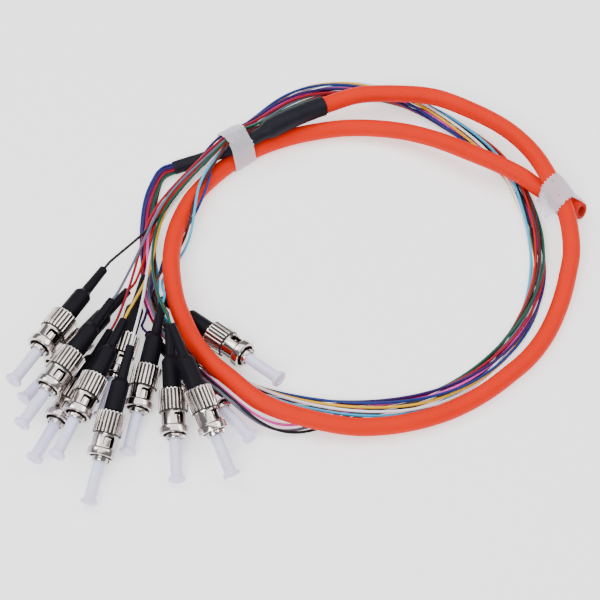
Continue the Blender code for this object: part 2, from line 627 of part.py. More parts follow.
def sleeve_line(trunk_line):
    """The sleeve's centreline from over the jacket to its narrow mouth, with its radius at each point."""
    inside = [np.array(p) for p in trunk_line[:SLEEVE_TRUNK_POINTS]]
    neck = smooth_line([trunk_line[0], *NECK_ROUTE])
    neck = spaced_line(neck, lambda place: SLEEVE_POINT_SPACING)[1:]
    radii = [SLEEVE_RADIUS] * len(inside) + [SLEEVE_NECK_RADIUS] * len(neck)
    return np.array([*inside[::-1], *neck]), radii


def heat_shrink_sleeve(line, radii, trunk_line, parts, cutters, material):
    """The sleeve: wide over the jacket's end, then a neck drawn down over the fibres."""
    sleeve = as_mesh(tube("heat_shrink_sleeve", line, radii, 3, parts, material), parts)
    inside = trunk_line[: SLEEVE_TRUNK_POINTS + 1]
    back = inside[0] - inside[1]
    back *= CLEARANCE / np.linalg.norm(back)
    bore_line = [inside[0] + back, *inside]
    bore_radius = TRUNK_RADIUS + CLEARANCE
    bore = tube("sleeve_bore", bore_line, [bore_radius] * len(bore_line), 3, cutters)
    cut(sleeve, as_mesh(bore, cutters))


def tape_band(name, width, middle, heading, held, parts, material):
    """A band of tape drawn tight round every held strand that runs through it."""
    angle = math.radians(heading)
    ahead = np.array([math.cos(angle), math.sin(angle), 0.0])
    side = np.array([-ahead[1], ahead[0], 0.0])
    inside = []
    for line, radii in held:
        each = np.arange(len(line))
        shares = np.arange(0, len(line) - 1, 1 / TAPE_LOOKS_PER_SEGMENT)
        places = np.stack([np.interp(shares, each, line[:, i]) for i in range(3)], axis=1)
        places -= np.array(middle)
        radius = np.interp(shares, each, radii)
        near = np.abs(places @ ahead) < width / 2 + TAPE_MARGIN
        near &= np.abs(places @ side) < TAPE_REACH
        inside.extend(np.stack([places @ side, places[:, 2], radius], axis=1)[near])
    inside = np.array(inside)
    angles = np.linspace(0, 2 * math.pi, TAPE_SIDES, endpoint=False)
    reach = [
        max(inside[:, 0] * math.cos(a) + inside[:, 1] * math.sin(a) + inside[:, 2]) for a in angles
    ]
    curve = bpy.data.curves.new(name, "CURVE")
    curve.dimensions = "2D"
    curve.fill_mode = "BOTH"
    curve.extrude = width / 2
    for stand_off in (CLEARANCE, CLEARANCE + TAPE_THICKNESS):
        spline = curve.splines.new("POLY")
        spline.points.add(TAPE_SIDES - 1)
        spline.use_cyclic_u = True
        for k, point in enumerate(spline.points):
            a, b = angles[k - 1], angles[k]
            p, q = reach[k - 1] + stand_off, reach[k] + stand_off
            whole = math.sin(b - a)
            x = (p * math.sin(b) - q * math.sin(a)) / whole
            y = (q * math.cos(a) - p * math.cos(b)) / whole
            point.co = (x, y, 0.0, 1.0)
    curve.materials.append(material)
    obj = bpy.data.objects.new(name, curve)
    frame = Matrix((side, (0, 0, 1), np.cross(side, (0, 0, 1)))).transposed().to_4x4()
    frame.translation = Vector(middle)
    obj.matrix_world = frame
    parts.objects.link(obj)


def build():
    """Makes every piece."""
    parts, cutters = cleared_scene()
    orange = principled("orange_pvc_jacket", "#E8502E", 0.42)
    black = principled("black_rubber_boot", "#1E1E28", 0.5)
    shrink = principled("black_heat_shrink", "#1A1A22", 0.55)
    nickel = principled("nickel_plated_brass", "#D8D4D2", 0.2, 1.0)
    milky = principled("milky_polyethylene", "#E4E2F2", 0.35)
    tape = principled("frosted_tape", "#DCD8E4", 0.45)

    trunk_line = spaced_line(smooth_line(TRUNK_ROUTE), lambda place: TRUNK_POINT_SPACING)
    trunk_cable(trunk_line, parts, cutters, orange)
    sleeve, sleeve_radii = sleeve_line(trunk_line)
    heat_shrink_sleeve(sleeve, sleeve_radii, trunk_line, parts, cutters, shrink)

    fibres = settled_fibres(trunk_line, sleeve, sleeve_radii)
    for connector, line in zip(CONNECTORS, fibres):
        colour = connector[0]
        finish = principled("fibre_coating_" + colour, connector[1], 0.35)
        tube("fibre_" + colour, line, [FIBRE_RADIUS] * len(line), 2, parts, finish)
        place = axis_of(connector)
        connector_body(colour, place, parts, black)
        coupling_nut(colour, place, parts, cutters, nickel)
        dust_cap(colour, place, parts, milky)

    trunk = (trunk_line, [TRUNK_RADIUS] * len(trunk_line))
    held = [trunk, (sleeve, sleeve_radii), *((line, [FIBRE_RADIUS] * len(line)) for line in fibres)]
    tape_band("tape_band_bundle", TAPE_ONE_WIDTH, TAPE_ONE_MIDDLE, TAPE_ONE_HEADING, held, parts, tape)
    held = [trunk]
    tape_band("tape_band_crossing", TAPE_TWO_WIDTH, TAPE_TWO_MIDDLE, TAPE_TWO_HEADING, held, parts, tape)

    shift = Matrix.Translation(-Vector(LAYOUT_ORIGIN))
    bpy.context.view_layer.update()
    for obj in (*parts.objects, *cutters.objects):
        obj.matrix_world = shift @ obj.matrix_world


build()
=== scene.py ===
"""Looks of the multi-fibre pigtail: an orange trunk cable lying in a loop, its heat-shrink sleeve, the
twelve coloured fibres that leave it, their bayonet connectors with boots, coupling nuts and dust
caps, and the two bands of tape. Metres, +Z up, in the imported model's own frame."""

import logging
import math
from collections.abc import Callable, Sequence
from dataclasses import dataclass, field
from enum import Enum

import bmesh
import bpy
import numpy as np
from mathutils import Matrix, Vector


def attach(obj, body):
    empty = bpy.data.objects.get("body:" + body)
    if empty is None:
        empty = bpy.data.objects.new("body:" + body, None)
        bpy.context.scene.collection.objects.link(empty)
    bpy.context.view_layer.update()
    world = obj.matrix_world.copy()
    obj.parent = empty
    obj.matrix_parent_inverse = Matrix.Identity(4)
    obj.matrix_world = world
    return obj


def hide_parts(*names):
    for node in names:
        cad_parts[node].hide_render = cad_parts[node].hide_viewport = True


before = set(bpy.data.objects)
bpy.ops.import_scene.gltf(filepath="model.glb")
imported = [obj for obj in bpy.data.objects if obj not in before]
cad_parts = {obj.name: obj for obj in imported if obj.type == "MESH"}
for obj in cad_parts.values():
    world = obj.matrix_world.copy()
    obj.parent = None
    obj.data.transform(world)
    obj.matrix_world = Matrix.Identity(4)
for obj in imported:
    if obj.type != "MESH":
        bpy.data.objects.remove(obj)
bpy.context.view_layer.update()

LOG = logging.getLogger("pigtail")

Point = tuple[float, float, float]

# Where the frame's origin lies among the laid-out routes, whose own origin is what the middle of the
# photograph shows
LAYOUT_ORIGIN = np.array((0.00251, 0.00632, 0.0))

ROOT_BODY = "loom"
TRUNK_RADIUS = 0.0029
FIBRE_RADIUS = 0.00045
CLEARANCE = 0.0003
STRAIGHT_AT_END = 0.0026

# Routes, as in the part's source

# The trunk's route from inside the sleeve, once round the loop and on to its cut end
TRUNK_ROUTE = (
    (-0.0101, 0.0618, 0.0101), (-0.0037, 0.0660, 0.0098), (0.0028, 0.0706, 0.0083),
    (0.0103, 0.0748, 0.0070), (0.0197, 0.0782, 0.0072), (0.0328, 0.0784, 0.0079),
    (0.0458, 0.0768, 0.0081),
    (0.0580, 0.0711, 0.0082), (0.0695, 0.0628, 0.0088), (0.0777, 0.0521, 0.0100),
    (0.0831, 0.0397, 0.0108), (0.0874, 0.0281, 0.0094), (0.0886, 0.0151, 0.0064),
    (0.0869, 0.0064, 0.0045), (0.0842, -0.0028, 0.0033), (0.0791, -0.0143, 0.0030),
    (0.0731, -0.0229, 0.0029), (0.0661, -0.0296, 0.0029), (0.0575, -0.0365, 0.0029),
    (0.0470, -0.0425, 0.0029), (0.0362, -0.0463, 0.0030), (0.0257, -0.0483, 0.0033),
    (0.0155, -0.0487, 0.0039), (0.0000, -0.0460, 0.0055), (-0.0127, -0.0414, 0.0070),
    (-0.0212, -0.0344, 0.0081), (-0.0278, -0.0287, 0.0089), (-0.0327, -0.0224, 0.0093),
    (-0.0369, -0.0137, 0.0094), (-0.0396, -0.0058, 0.0093), (-0.0413, 0.0039, 0.0088),
    (-0.0418, 0.0126, 0.0077), (-0.0408, 0.0227, 0.0062), (-0.0386, 0.0308, 0.0050),
    (-0.0358, 0.0373, 0.0043), (-0.0307, 0.0446, 0.0038), (-0.0241, 0.0514, 0.00368),
    (-0.0169, 0.0569, 0.00358), (-0.0075, 0.0618, 0.0032), (0.0028, 0.0652, 0.0030),
    (0.0166, 0.0671, 0.0034), (0.0326, 0.0652, 0.0046), (0.0453, 0.0604, 0.0062),
    (0.0578, 0.0533, 0.0077), (0.0666, 0.0486, 0.0078), (0.0741, 0.0447, 0.0066),
    (0.0796, 0.0408, 0.0053), (0.0870, 0.0363, 0.0042), (0.0946, 0.0318, 0.0036),
)

# The sleeve's narrow neck, on from the step at the jacket's end
NECK_ROUTE = (
    (-0.0158, 0.0582, 0.0093), (-0.0202, 0.0555, 0.0091), (-0.0243, 0.0541, 0.0086),
    (-0.0286, 0.0539, 0.0063), (-0.0325, 0.0534, 0.0044), (-0.0371, 0.0526, 0.0031),
    (-0.0426, 0.0508, 0.0026),
)

# The middle of the fibre bundle: from the neck, down the left side, round the loop and back to
# the first tape
BUNDLE_FIRST_LEFT = (
    (-0.0492, 0.0440, 0.0026), (-0.0505, 0.0360, 0.0026), (-0.0505, 0.0270, 0.0026),
    (-0.0500, 0.0180, 0.0026), (-0.0488, 0.0080, 0.0026),
)
BUNDLE_UNDER_TRUNK = (
    (-0.0481, -0.0020, 0.0026), (-0.0444, -0.0106, 0.0026), (-0.0374, -0.0184, 0.0026),
    (-0.0287, -0.0260, 0.0026), (-0.0190, -0.0320, 0.0026), (-0.0094, -0.0368, 0.0026),
    (0.0031, -0.0399, 0.0026),
)
BUNDLE_OUTSIDE_TRUNK = (
    (-0.0487, -0.0010, 0.0060), (-0.0455, -0.0125, 0.0080), (-0.0392, -0.0252, 0.0106),
    (-0.0325, -0.0330, 0.0112), (-0.0238, -0.0410, 0.0108), (-0.0170, -0.0460, 0.0076),
    (-0.0093, -0.0493, 0.0036), (0.0000, -0.0490, 0.0012), (0.0078, -0.0460, 0.0010),
)
BUNDLE_LOOP = (
    (0.0156, -0.0417, 0.0026), (0.0282, -0.0410, 0.0026), (0.0408, -0.0381, 0.0026),
    (0.0537, -0.0313, 0.0026), (0.0653, -0.0203, 0.0026), (0.0734, -0.0072, 0.0026),
    (0.0778, 0.0062, 0.0026), (0.0782, 0.0218, 0.0026), (0.0755, 0.0355, 0.0026),
    (0.0723, 0.0469, 0.0026), (0.0661, 0.0565, 0.0026), (0.0580, 0.0640, 0.0026),
    (0.0480, 0.0721, 0.0026), (0.0379, 0.0786, 0.0026), (0.0277, 0.0829, 0.0026),
    (0.0173, 0.0847, 0.0026), (0.0069, 0.0838, 0.0026), (-0.0035, 0.0790, 0.0030),
    (-0.0120, 0.0696, 0.0050),
)
BUNDLE_AT_TAPE = ((-0.0180, 0.0626, 0.0076), (-0.0212, 0.0576, 0.0118), (-0.0255, 0.0526, 0.0125))

# Connectors, as in the part's source


@dataclass(frozen=True)
class Berth:
    """Where one connector lies.

    Args:
        colour: name of its fibre's colour, which also names its nodes and bodies.
        paint: its fibre's colour as sRGB hex.
        middle: middle of its coupling nut.
        heading: way it points on the floor, in degrees.
        rise: metres it climbs for each metre forward.
        outside: whether its fibre stays outside the trunk on its first way down.
        own_way: its fibre's own route from the tape to its boot.
    """

    colour: str
    paint: str
    middle: Point
    heading: float
    rise: float
    outside: bool
    own_way: tuple[Point, ...]

    def axes(self) -> Matrix:
        """Its place as a matrix whose X runs to the ferrule.

        Returns:
            The matrix, in the routes' own coordinates.
        """
        angle = math.radians(self.heading)
        ahead = Vector((math.cos(angle), math.sin(angle), self.rise)).normalized()
        side = Vector((0, 0, 1)).cross(ahead).normalized()
        matrix = Matrix((ahead, side, ahead.cross(side))).transposed().to_4x4()
        matrix.translation = Vector(self.middle)
        return matrix


BERTHS = (
    Berth("black", "#111015", (-0.0777, -0.0199, 0.0129), -120.4, 0.072, True,
          ((-0.0400, 0.0395, 0.0078), (-0.0467, 0.0268, 0.0086), (-0.0526, 0.0185, 0.0100))),
    Berth("slate", "#616475", (-0.0742, -0.0341, 0.0134), -120.8, -0.048, True,
          ((-0.0420, 0.0385, 0.0080), (-0.0478, 0.0260, 0.0088), (-0.0520, 0.0120, 0.0110))),
    Berth("pink", "#F24BBE", (-0.0568, -0.0241, 0.0054), -103.8, -0.103, True,
          ((-0.0410, 0.0380, 0.0080), (-0.0482, 0.0250, 0.0082))),
    Berth("orange", "#B80F04", (-0.0732, -0.0224, 0.0047), -127.4, 0.0, False,
          ((-0.0400, 0.0395, 0.0080), (-0.0470, 0.0280, 0.0085), (-0.0498, 0.0140, 0.0078))),
    Berth("red", "#960324", (-0.0726, -0.0408, 0.0047), -114.7, 0.006, False,
          ((-0.0410, 0.0400, 0.0078), (-0.0480, 0.0285, 0.0080), (-0.0520, 0.0130, 0.0070),
           (-0.0560, -0.0020, 0.0050))),
    Berth("yellow", "#E0AC1A", (-0.0661, -0.0424, 0.0119), -111.6, -0.043, False,
          ((-0.0400, 0.0390, 0.0080), (-0.0460, 0.0260, 0.0088), (-0.0485, 0.0120, 0.0100),
           (-0.0508, -0.0010, 0.0122))),
    Berth("white", "#F2F0F6", (-0.0593, -0.0543, 0.0088), -103.8, -0.285, False,
          ((-0.0410, 0.0370, 0.0078), (-0.0475, 0.0240, 0.0080), (-0.0488, 0.0080, 0.0110),
           (-0.0497, -0.0080, 0.0150))),
    Berth("aqua", "#2AB0DC", (-0.0491, -0.0364, 0.0064), -101.0, -0.170, False,
          ((-0.0320, 0.0443, 0.0092), (-0.0354, 0.0357, 0.0086), (-0.0362, 0.0280, 0.0078),
           (-0.0364, 0.0214, 0.0056), (-0.0381, 0.0170, 0.0025), (-0.0422, 0.0117, 0.0014),
           (-0.0452, 0.0063, 0.0040), (-0.0451, 0.0010, 0.0086))),
    Berth("brown", "#4C1B1A", (-0.0392, -0.0457, 0.0074), -85.9, -0.218, False,
          ((-0.0330, 0.0420, 0.0080), (-0.0363, 0.0336, 0.0084), (-0.0371, 0.0247, 0.0072),
           (-0.0388, 0.0198, 0.0028), (-0.0433, 0.0141, 0.0012), (-0.0462, 0.0070, 0.0040),
           (-0.0460, -0.0030, 0.0100))),
    Berth("green", "#0A4C39", (-0.0291, -0.0474, 0.0120), -66.3, -0.360, False,
          ((-0.0390, 0.0410, 0.0085), (-0.0455, 0.0300, 0.0095), (-0.0478, 0.0160, 0.0120),
           (-0.0472, 0.0020, 0.0170), (-0.0448, -0.0100, 0.0210))),
    Berth("violet", "#2D1156", (-0.0295, -0.0370, 0.0048), -48.6, 0.015, False,
          ((-0.0400, 0.0400, 0.0080), (-0.0470, 0.0290, 0.0082), (-0.0488, 0.0150, 0.0075),
           (-0.0476, 0.0030, 0.0066), (-0.0487, -0.0050, 0.0050),
           (-0.0500, -0.0100, 0.0043))),
    Berth("blue", "#152B75", (-0.0228, -0.0199, 0.0054), -40.6, 0.100, False,
          ((-0.0283, 0.0417, 0.0085), (-0.0343, 0.0291, 0.0070), (-0.0365, 0.0252, 0.0024),
           (-0.0405, 0.0225, 0.0010), (-0.0448, 0.0180, 0.0010), (-0.0465, 0.0110, 0.0010),
           (-0.0480, 0.0060, 0.0012))),
)

# Lines

# Dense points for each stretch between two points of a route
CURVE_STEPS = 14


def smooth_line(points: Sequence[Sequence[float]], steps: int = CURVE_STEPS) -> np.ndarray:
    """Dense points on a centripetal Catmull-Rom curve.

    Args:
        points: the points that the curve goes through.
        steps: dense points for each stretch between two of them.

    Returns:
        The dense points, one row each.
    """
    knots = np.array(points, float)
    padded = np.array([2 * knots[0] - knots[1], *knots, 2 * knots[-1] - knots[-2]])
    dense: list[np.ndarray] = []
    for p0, p1, p2, p3 in zip(padded, padded[1:], padded[2:], padded[3:]):
        gaps = [math.sqrt(np.linalg.norm(b - a)) for a, b in ((p0, p1), (p1, p2), (p2, p3))]
        t0, t1, t2, t3 = np.cumsum([0.0, *gaps])
        t = np.linspace(t1, t2, steps, endpoint=False)[:, None]
        a1 = (t1 - t) / (t1 - t0) * p0 + (t - t0) / (t1 - t0) * p1
        a2 = (t2 - t) / (t2 - t1) * p1 + (t - t1) / (t2 - t1) * p2
        a3 = (t3 - t) / (t3 - t2) * p2 + (t - t2) / (t3 - t2) * p3
        b1 = (t2 - t) / (t2 - t0) * a1 + (t - t0) / (t2 - t0) * a2
        b2 = (t3 - t) / (t3 - t1) * a2 + (t - t1) / (t3 - t1) * a3
        dense.extend((t2 - t) / (t2 - t1) * b1 + (t - t1) / (t2 - t1) * b2)
    dense.append(knots[-1])
    return np.array(dense)


def spaced_line(dense: np.ndarray, spacing: Callable[[np.ndarray], float]) -> np.ndarray:
    """Points along a dense line, as far apart as asked at each place.

    Args:
        dense: the line's dense points.
        spacing: gives the distance between points near a place.

    Returns:
        The spaced points, one row each.
    """
    steps = np.linalg.norm(np.diff(dense, axis=0), axis=1)
    middles = (dense[1:] + dense[:-1]) / 2
    effort = np.concatenate([[0.0], np.cumsum(steps / np.array([spacing(m) for m in middles]))])
    wanted = np.linspace(0.0, effort[-1], int(math.ceil(effort[-1])) + 1)
    return np.stack([np.interp(wanted, effort, dense[:, i]) for i in range(3)], axis=1)


def length_of(line: np.ndarray) -> float:
    """A line's length in metres."""
    return float(np.linalg.norm(np.diff(line, axis=0), axis=1).sum())


def closest(
    p0: np.ndarray, p1: np.ndarray, q0: np.ndarray, q1: np.ndarray
) -> tuple[np.ndarray, np.ndarray]:
    """Where along each pair of segments the two come closest.

    Args:
        p0: starts of the first segments.
        p1: their ends.
        q0: starts of the second segments.
        q1: their ends.

    Returns:
        The places as shares of the first and of the second segments' lengths.
    """
    d1, d2, r = p1 - p0, q1 - q0, p0 - q0
    a, e, f = (d1 * d1).sum(1), (d2 * d2).sum(1), (d2 * r).sum(1)
    b, c = (d1 * d2).sum(1), (d1 * r).sum(1)
    denominator = np.maximum(a * e - b * b, 1e-18)
    s = np.clip((b * f - c * e) / denominator, 0.0, 1.0)
    t = np.clip((b * s + f) / e, 0.0, 1.0)
    s = np.clip((b * t - c) / a, 0.0, 1.0)
    return s, t


@dataclass(frozen=True)
class Settling:
    """How fibres settle.

    Args:
        rounds: rounds of sinking and pushing apart.
        sink: metres that every free point drops in a round.
        min_gap: least distance kept between two surfaces.
        beside: segments along one fibre that are too near each other to be pushed apart.
        at_end: a fibre's last segments, which its own boot doesn't push.
        sinking: share of the rounds in which the fibres sink.
        evening: share of the difference to its neighbours that a point takes up in a round.
        look_every: rounds between two looks for what is near.
        look_reach: how far off a near thing may be.
        floor_gap: least distance to the floor.
    """

    rounds: int
    sink: float
    min_gap: float
    beside: int
    at_end: int
    sinking: float = 0.75
    evening: float = 0.5
    look_every: int = 12
    look_reach: float = 0.0020
    floor_gap: float = 0.00003


# The part's own settling, and the gentler ones once the fibres are smooth
AS_IN_THE_PART = Settling(rounds=420, sink=0.00002, min_gap=0.00018, beside=4, at_end=2)
ONCE_SMOOTHED = Settling(rounds=36, sink=0.0, min_gap=0.00005, beside=9, at_end=3)
LAST_LOOK = Settling(rounds=24, sink=0.0, min_gap=0.00003, beside=9, at_end=3)


@dataclass
class Obstacle:
    """A round thing that fibres lie against.

    Args:
        fibre: which fibre ends in it, or the number of fibres where none does.
        line: its centreline.
        radii: its radius for each segment.
    """

    fibre: int
    line: Sequence[np.ndarray]
    radii: Sequence[float]


class Strands:
    """Fibres as chains of points among round obstacles, all as segments with a radius."""

    def __init__(
        self, lines: Sequence[np.ndarray], obstacles: Sequence[Obstacle], how: Settling
    ) -> None:
        """Lines up every point and segment.

        Args:
            lines: the fibres' points.
            obstacles: what the fibres lie against.
            how: the settling's settings.
        """
        self.how = how
        self.starts = np.cumsum([0, *(len(line) for line in lines)])
        self.points = np.concatenate(lines)
        self.mobile = np.ones(len(self.points))
        for start, stop in zip(self.starts, self.starts[1:]):
            self.mobile[[start, start + 1, stop - 2, stop - 1]] = 0.0
        self.rest = self.points.copy()
        self.fibre_points = len(self.points)
        first: list[int] = []
        owner: list[int] = []
        radius: list[float] = []
        at_end: list[bool] = []
        for k, (start, stop) in enumerate(zip(self.starts, self.starts[1:])):
            first.extend(range(start, stop - 1))
            owner.extend([k] * (stop - start - 1))
            radius.extend([FIBRE_RADIUS] * (stop - start - 1))
            at_end.extend([False] * (stop - start - 1 - how.at_end) + [True] * how.at_end)
        self.fibre_segments = len(first)
        self.at_end = np.array(at_end)
        extra: list[np.ndarray] = []
        for obstacle in obstacles:
            base = self.fibre_points + len(extra)
            extra.extend(obstacle.line)
            first.extend(range(base, base + len(obstacle.line) - 1))
            owner.extend([-1 - obstacle.fibre] * (len(obstacle.line) - 1))
            radius.extend(obstacle.radii)
        self.points = np.concatenate([self.points, np.array(extra)])
        self.mobile = np.concatenate([self.mobile, np.zeros(len(extra))])
        self.first, self.owner = np.array(first), np.array(owner)
        self.radius = np.array(radius)

    def neighbours(self) -> tuple[np.ndarray, np.ndarray]:
        """Pairs of segments near enough to touch soon.

        Returns:
            The indices of the pairs' first segments, always a fibre's, and of their second ones.
        """
        a, b = self.points[self.first], self.points[self.first + 1]
        middle, half = (a + b) / 2, np.linalg.norm(b - a, axis=1) / 2
        n = self.fibre_segments
        apart = np.linalg.norm(middle[:n, None] - middle[None], axis=2)
        reach = half[:n, None] + half[None] + self.radius[:n, None] + self.radius[None]
        i, j = np.nonzero(apart < reach + self.how.look_reach)
        beside = (self.owner[i] == self.owner[j]) & (np.abs(i - j) < self.how.beside)
        own_boot = (self.owner[j] == -1 - self.owner[i]) & self.at_end[i]
        keep = (j > i) & ~beside & ~own_boot
        return i[keep], j[keep]

    def push(self, i: np.ndarray, j: np.ndarray) -> None:
        """Moves apart each pair that is too close.

        Args:
            i: the pairs' first segments.
            j: their second segments.
        """
        a, b = self.first[i], self.first[j]
        p0, p1, q0, q1 = (self.points[k] for k in (a, a + 1, b, b + 1))
        s, t = closest(p0, p1, q0, q1)
        apart = (p0 + (p1 - p0) * s[:, None]) - (q0 + (q1 - q0) * t[:, None])
        distance = np.maximum(np.linalg.norm(apart, axis=1), 1e-7)
        lack = self.radius[i] + self.radius[j] + self.how.min_gap - distance
        hit = lack > 0
        move, weight = np.zeros_like(self.points), np.zeros(len(self.points))
        for ends, along, sign, other in (((a, a + 1), s, 1.0, b), ((b, b + 1), t, -1.0, a)):
            both = np.where(self.mobile[other] + self.mobile[other + 1] > 0, 0.5, 1.0)
            for end, part in zip(ends, (1 - along, along)):
                amount = sign * both * lack * part / (part**2 + (1 - part) ** 2)
                step = (apart / distance[:, None]) * amount[:, None]
                np.add.at(move, end[hit], step[hit] * part[hit, None])
                np.add.at(weight, end[hit], part[hit])
        self.points += move / np.maximum(weight, 1.0)[:, None] * self.mobile[:, None]

    def even_out(self) -> None:
        """Evens out how far each point has moved along its own fibre."""
        for start, stop in zip(self.starts, self.starts[1:]):
            moved = self.points[start:stop] - self.rest[start:stop]
            mean = (moved[2:] + moved[:-2]) / 2
            step = self.how.evening * (mean - moved[1:-1])
            step *= self.mobile[start + 1 : stop - 1, None]
            self.points[start + 1 : stop - 1] += step

    def settle(self) -> list[np.ndarray]:
        """Sinks the fibres onto what lies under them and pushes apart what touches.

        Returns:
            The settled points of each fibre.
        """
        n = self.fibre_points
        lowest = FIBRE_RADIUS + self.how.floor_gap
        for turn in range(self.how.rounds):
            if turn % self.how.look_every == 0:
                i, j = self.neighbours()
            if turn <= self.how.rounds * self.how.sinking:
                self.points[:n, 2] -= self.how.sink * self.mobile[:n]
                self.even_out()
            self.push(i, j)
            self.points[:n, 2] = np.where(
                self.mobile[:n] > 0, np.maximum(self.points[:n, 2], lowest), self.points[:n, 2]
            )
        return [self.points[a:b] for a, b in zip(self.starts, self.starts[1:])]


# Meshes


@dataclass(frozen=True)
class Section:
    """One corner of a turned outline: how far along, at what radius, and how round it is."""

    along: float
    radius: float
    fillet: float = 0.0


def filleted(outline: Sequence[Section], closed: bool, steps: int = 3) -> list[tuple[float, float]]:
    """An outline with its corners rounded by arcs.

    Args:
        outline: the corners in order.
        closed: whether the last corner joins the first.
        steps: chords for each arc.

    Returns:
        (along, radius) points.
    """
    rounded: list[tuple[float, float]] = []
    count = len(outline)
    for k, corner in enumerate(outline):
        here = Vector((corner.along, corner.radius))
        at_end = not closed and k in (0, count - 1)
        if corner.fillet <= 0 or at_end:
            rounded.append(tuple(here))
            continue
        before, after = outline[k - 1], outline[(k + 1) % count]
        back = Vector((before.along, before.radius)) - here
        on = Vector((after.along, after.radius)) - here
        reach = min(corner.fillet, back.length * 0.48, on.length * 0.48)
        start, end = here + back.normalized() * reach, here + on.normalized() * reach
        for n in range(steps + 1):
            t = n / steps
            rounded.append(tuple(start * (1 - t) ** 2 + here * 2 * t * (1 - t) + end * t**2))
    return rounded


Modulation = Callable[[float, float, np.ndarray], np.ndarray]


def mesh_of(
    name: str,
    verts: np.ndarray,
    faces: Sequence[Sequence[int]],
    crease: float = 38.0,
    uvs: np.ndarray | None = None,
) -> bpy.types.Mesh:
    """A mesh shaded smooth apart from its sharp edges.

    Args:
        name: the mesh's name.
        verts: one row for each vertex.
        faces: vertex indices of each face.
        crease: edges sharper than this many degrees stay sharp.
        uvs: a (round, along) pair in metres for each vertex, if it has any.

    Returns:
        The mesh.
    """
    mesh = bpy.data.meshes.new(name)
    mesh.from_pydata([tuple(v) for v in verts], [], [tuple(f) for f in faces])
    if uvs is not None:
        layer = mesh.uv_layers.new(name="metres")
        index = np.empty(len(mesh.loops), np.int32)
        mesh.loops.foreach_get("vertex_index", index)
        layer.data.foreach_set("uv", uvs[index].astype(np.float32).ravel())
    shape = bmesh.new()
    shape.from_mesh(mesh)
    bmesh.ops.recalc_face_normals(shape, faces=shape.faces)
    shape.to_mesh(mesh)
    shape.free()
    mesh.shade_smooth()
    mesh.set_sharp_from_angle(angle=math.radians(crease))
    return mesh


def turned_mesh(
    name: str,
    outline: Sequence[Section],
    sides: int,
    closed: bool = False,
    modulate: Modulation | None = None,
) -> bpy.types.Mesh:
    """A turned shape about X.

    Args:
        name: the mesh's name.
        outline: its outline; an open one starts and ends on the axis.
        sides: facets round it.
        closed: whether the outline is a loop, as for a ring.
        modulate: changes the radius at a place along, given the plain radius and the angles.

    Returns:
        The mesh.
    """
    points = filleted(outline, closed)
    angles = np.linspace(0, 2 * math.pi, sides, endpoint=False)
    verts: list[tuple[float, float, float]] = []
    rings: list[list[int]] = []
    for along, radius in points:
        if radius < 1e-7:
            verts.append((along, 0.0, 0.0))
            rings.append([len(verts) - 1] * sides)
            continue
        radii = np.full(sides, radius)
        if modulate:
            radii = modulate(along, radius, angles)
        rings.append(list(range(len(verts), len(verts) + sides)))
        verts.extend(zip([along] * sides, radii * np.cos(angles), radii * np.sin(angles)))
    if closed:
        rings.append(rings[0])
    faces: list[list[int]] = []
    for low, high in zip(rings, rings[1:]):
        for k in range(sides):
            n = (k + 1) % sides
            face = [low[k], low[n], high[n], high[k]]
            faces.append(list(dict.fromkeys(face)))
    return mesh_of(name, np.array(verts), [f for f in faces if len(f) > 2])


@dataclass(frozen=True)
class Bore:
    """A hollow in the end of a tube: its radius and how deep it runs."""

    radius: float
    depth: float


def unit_steps(line: np.ndarray) -> np.ndarray:
    """The direction of a line at each of its points."""
    ahead = np.gradient(line, axis=0)
    return ahead / np.linalg.norm(ahead, axis=1)[:, None]


def with_lips(
    line: np.ndarray, radii: np.ndarray, lip: float, arc: int = 3
) -> tuple[np.ndarray, np.ndarray]:
    """Adds a quarter-round to the outline at both ends of a tube.

    Args:
        line: the tube's centreline.
        radii: its radius at each point.
        lip: the quarter-round's radius.
        arc: chords for it.

    Returns:
        The new centreline and radii, both ends where they were.
    """
    angles = np.linspace(0, math.pi / 2, arc + 1)
    back, drop = lip * (1 - np.sin(angles))[::-1], lip * (1 - np.cos(angles))[::-1]
    ahead = unit_steps(line)
    start = line[0] + np.outer(back, ahead[0])
    end = line[-1] - np.outer(back[::-1], ahead[-1])
    run = np.concatenate([[0.0], np.cumsum(np.linalg.norm(np.diff(line, axis=0), axis=1))])
    inner = (run > lip * 1.05) & (run < run[-1] - lip * 1.05)
    return (
        np.concatenate([start, line[inner], end]),
        np.concatenate([radii[0] - drop, radii[inner], radii[-1] - drop[::-1]]),
    )


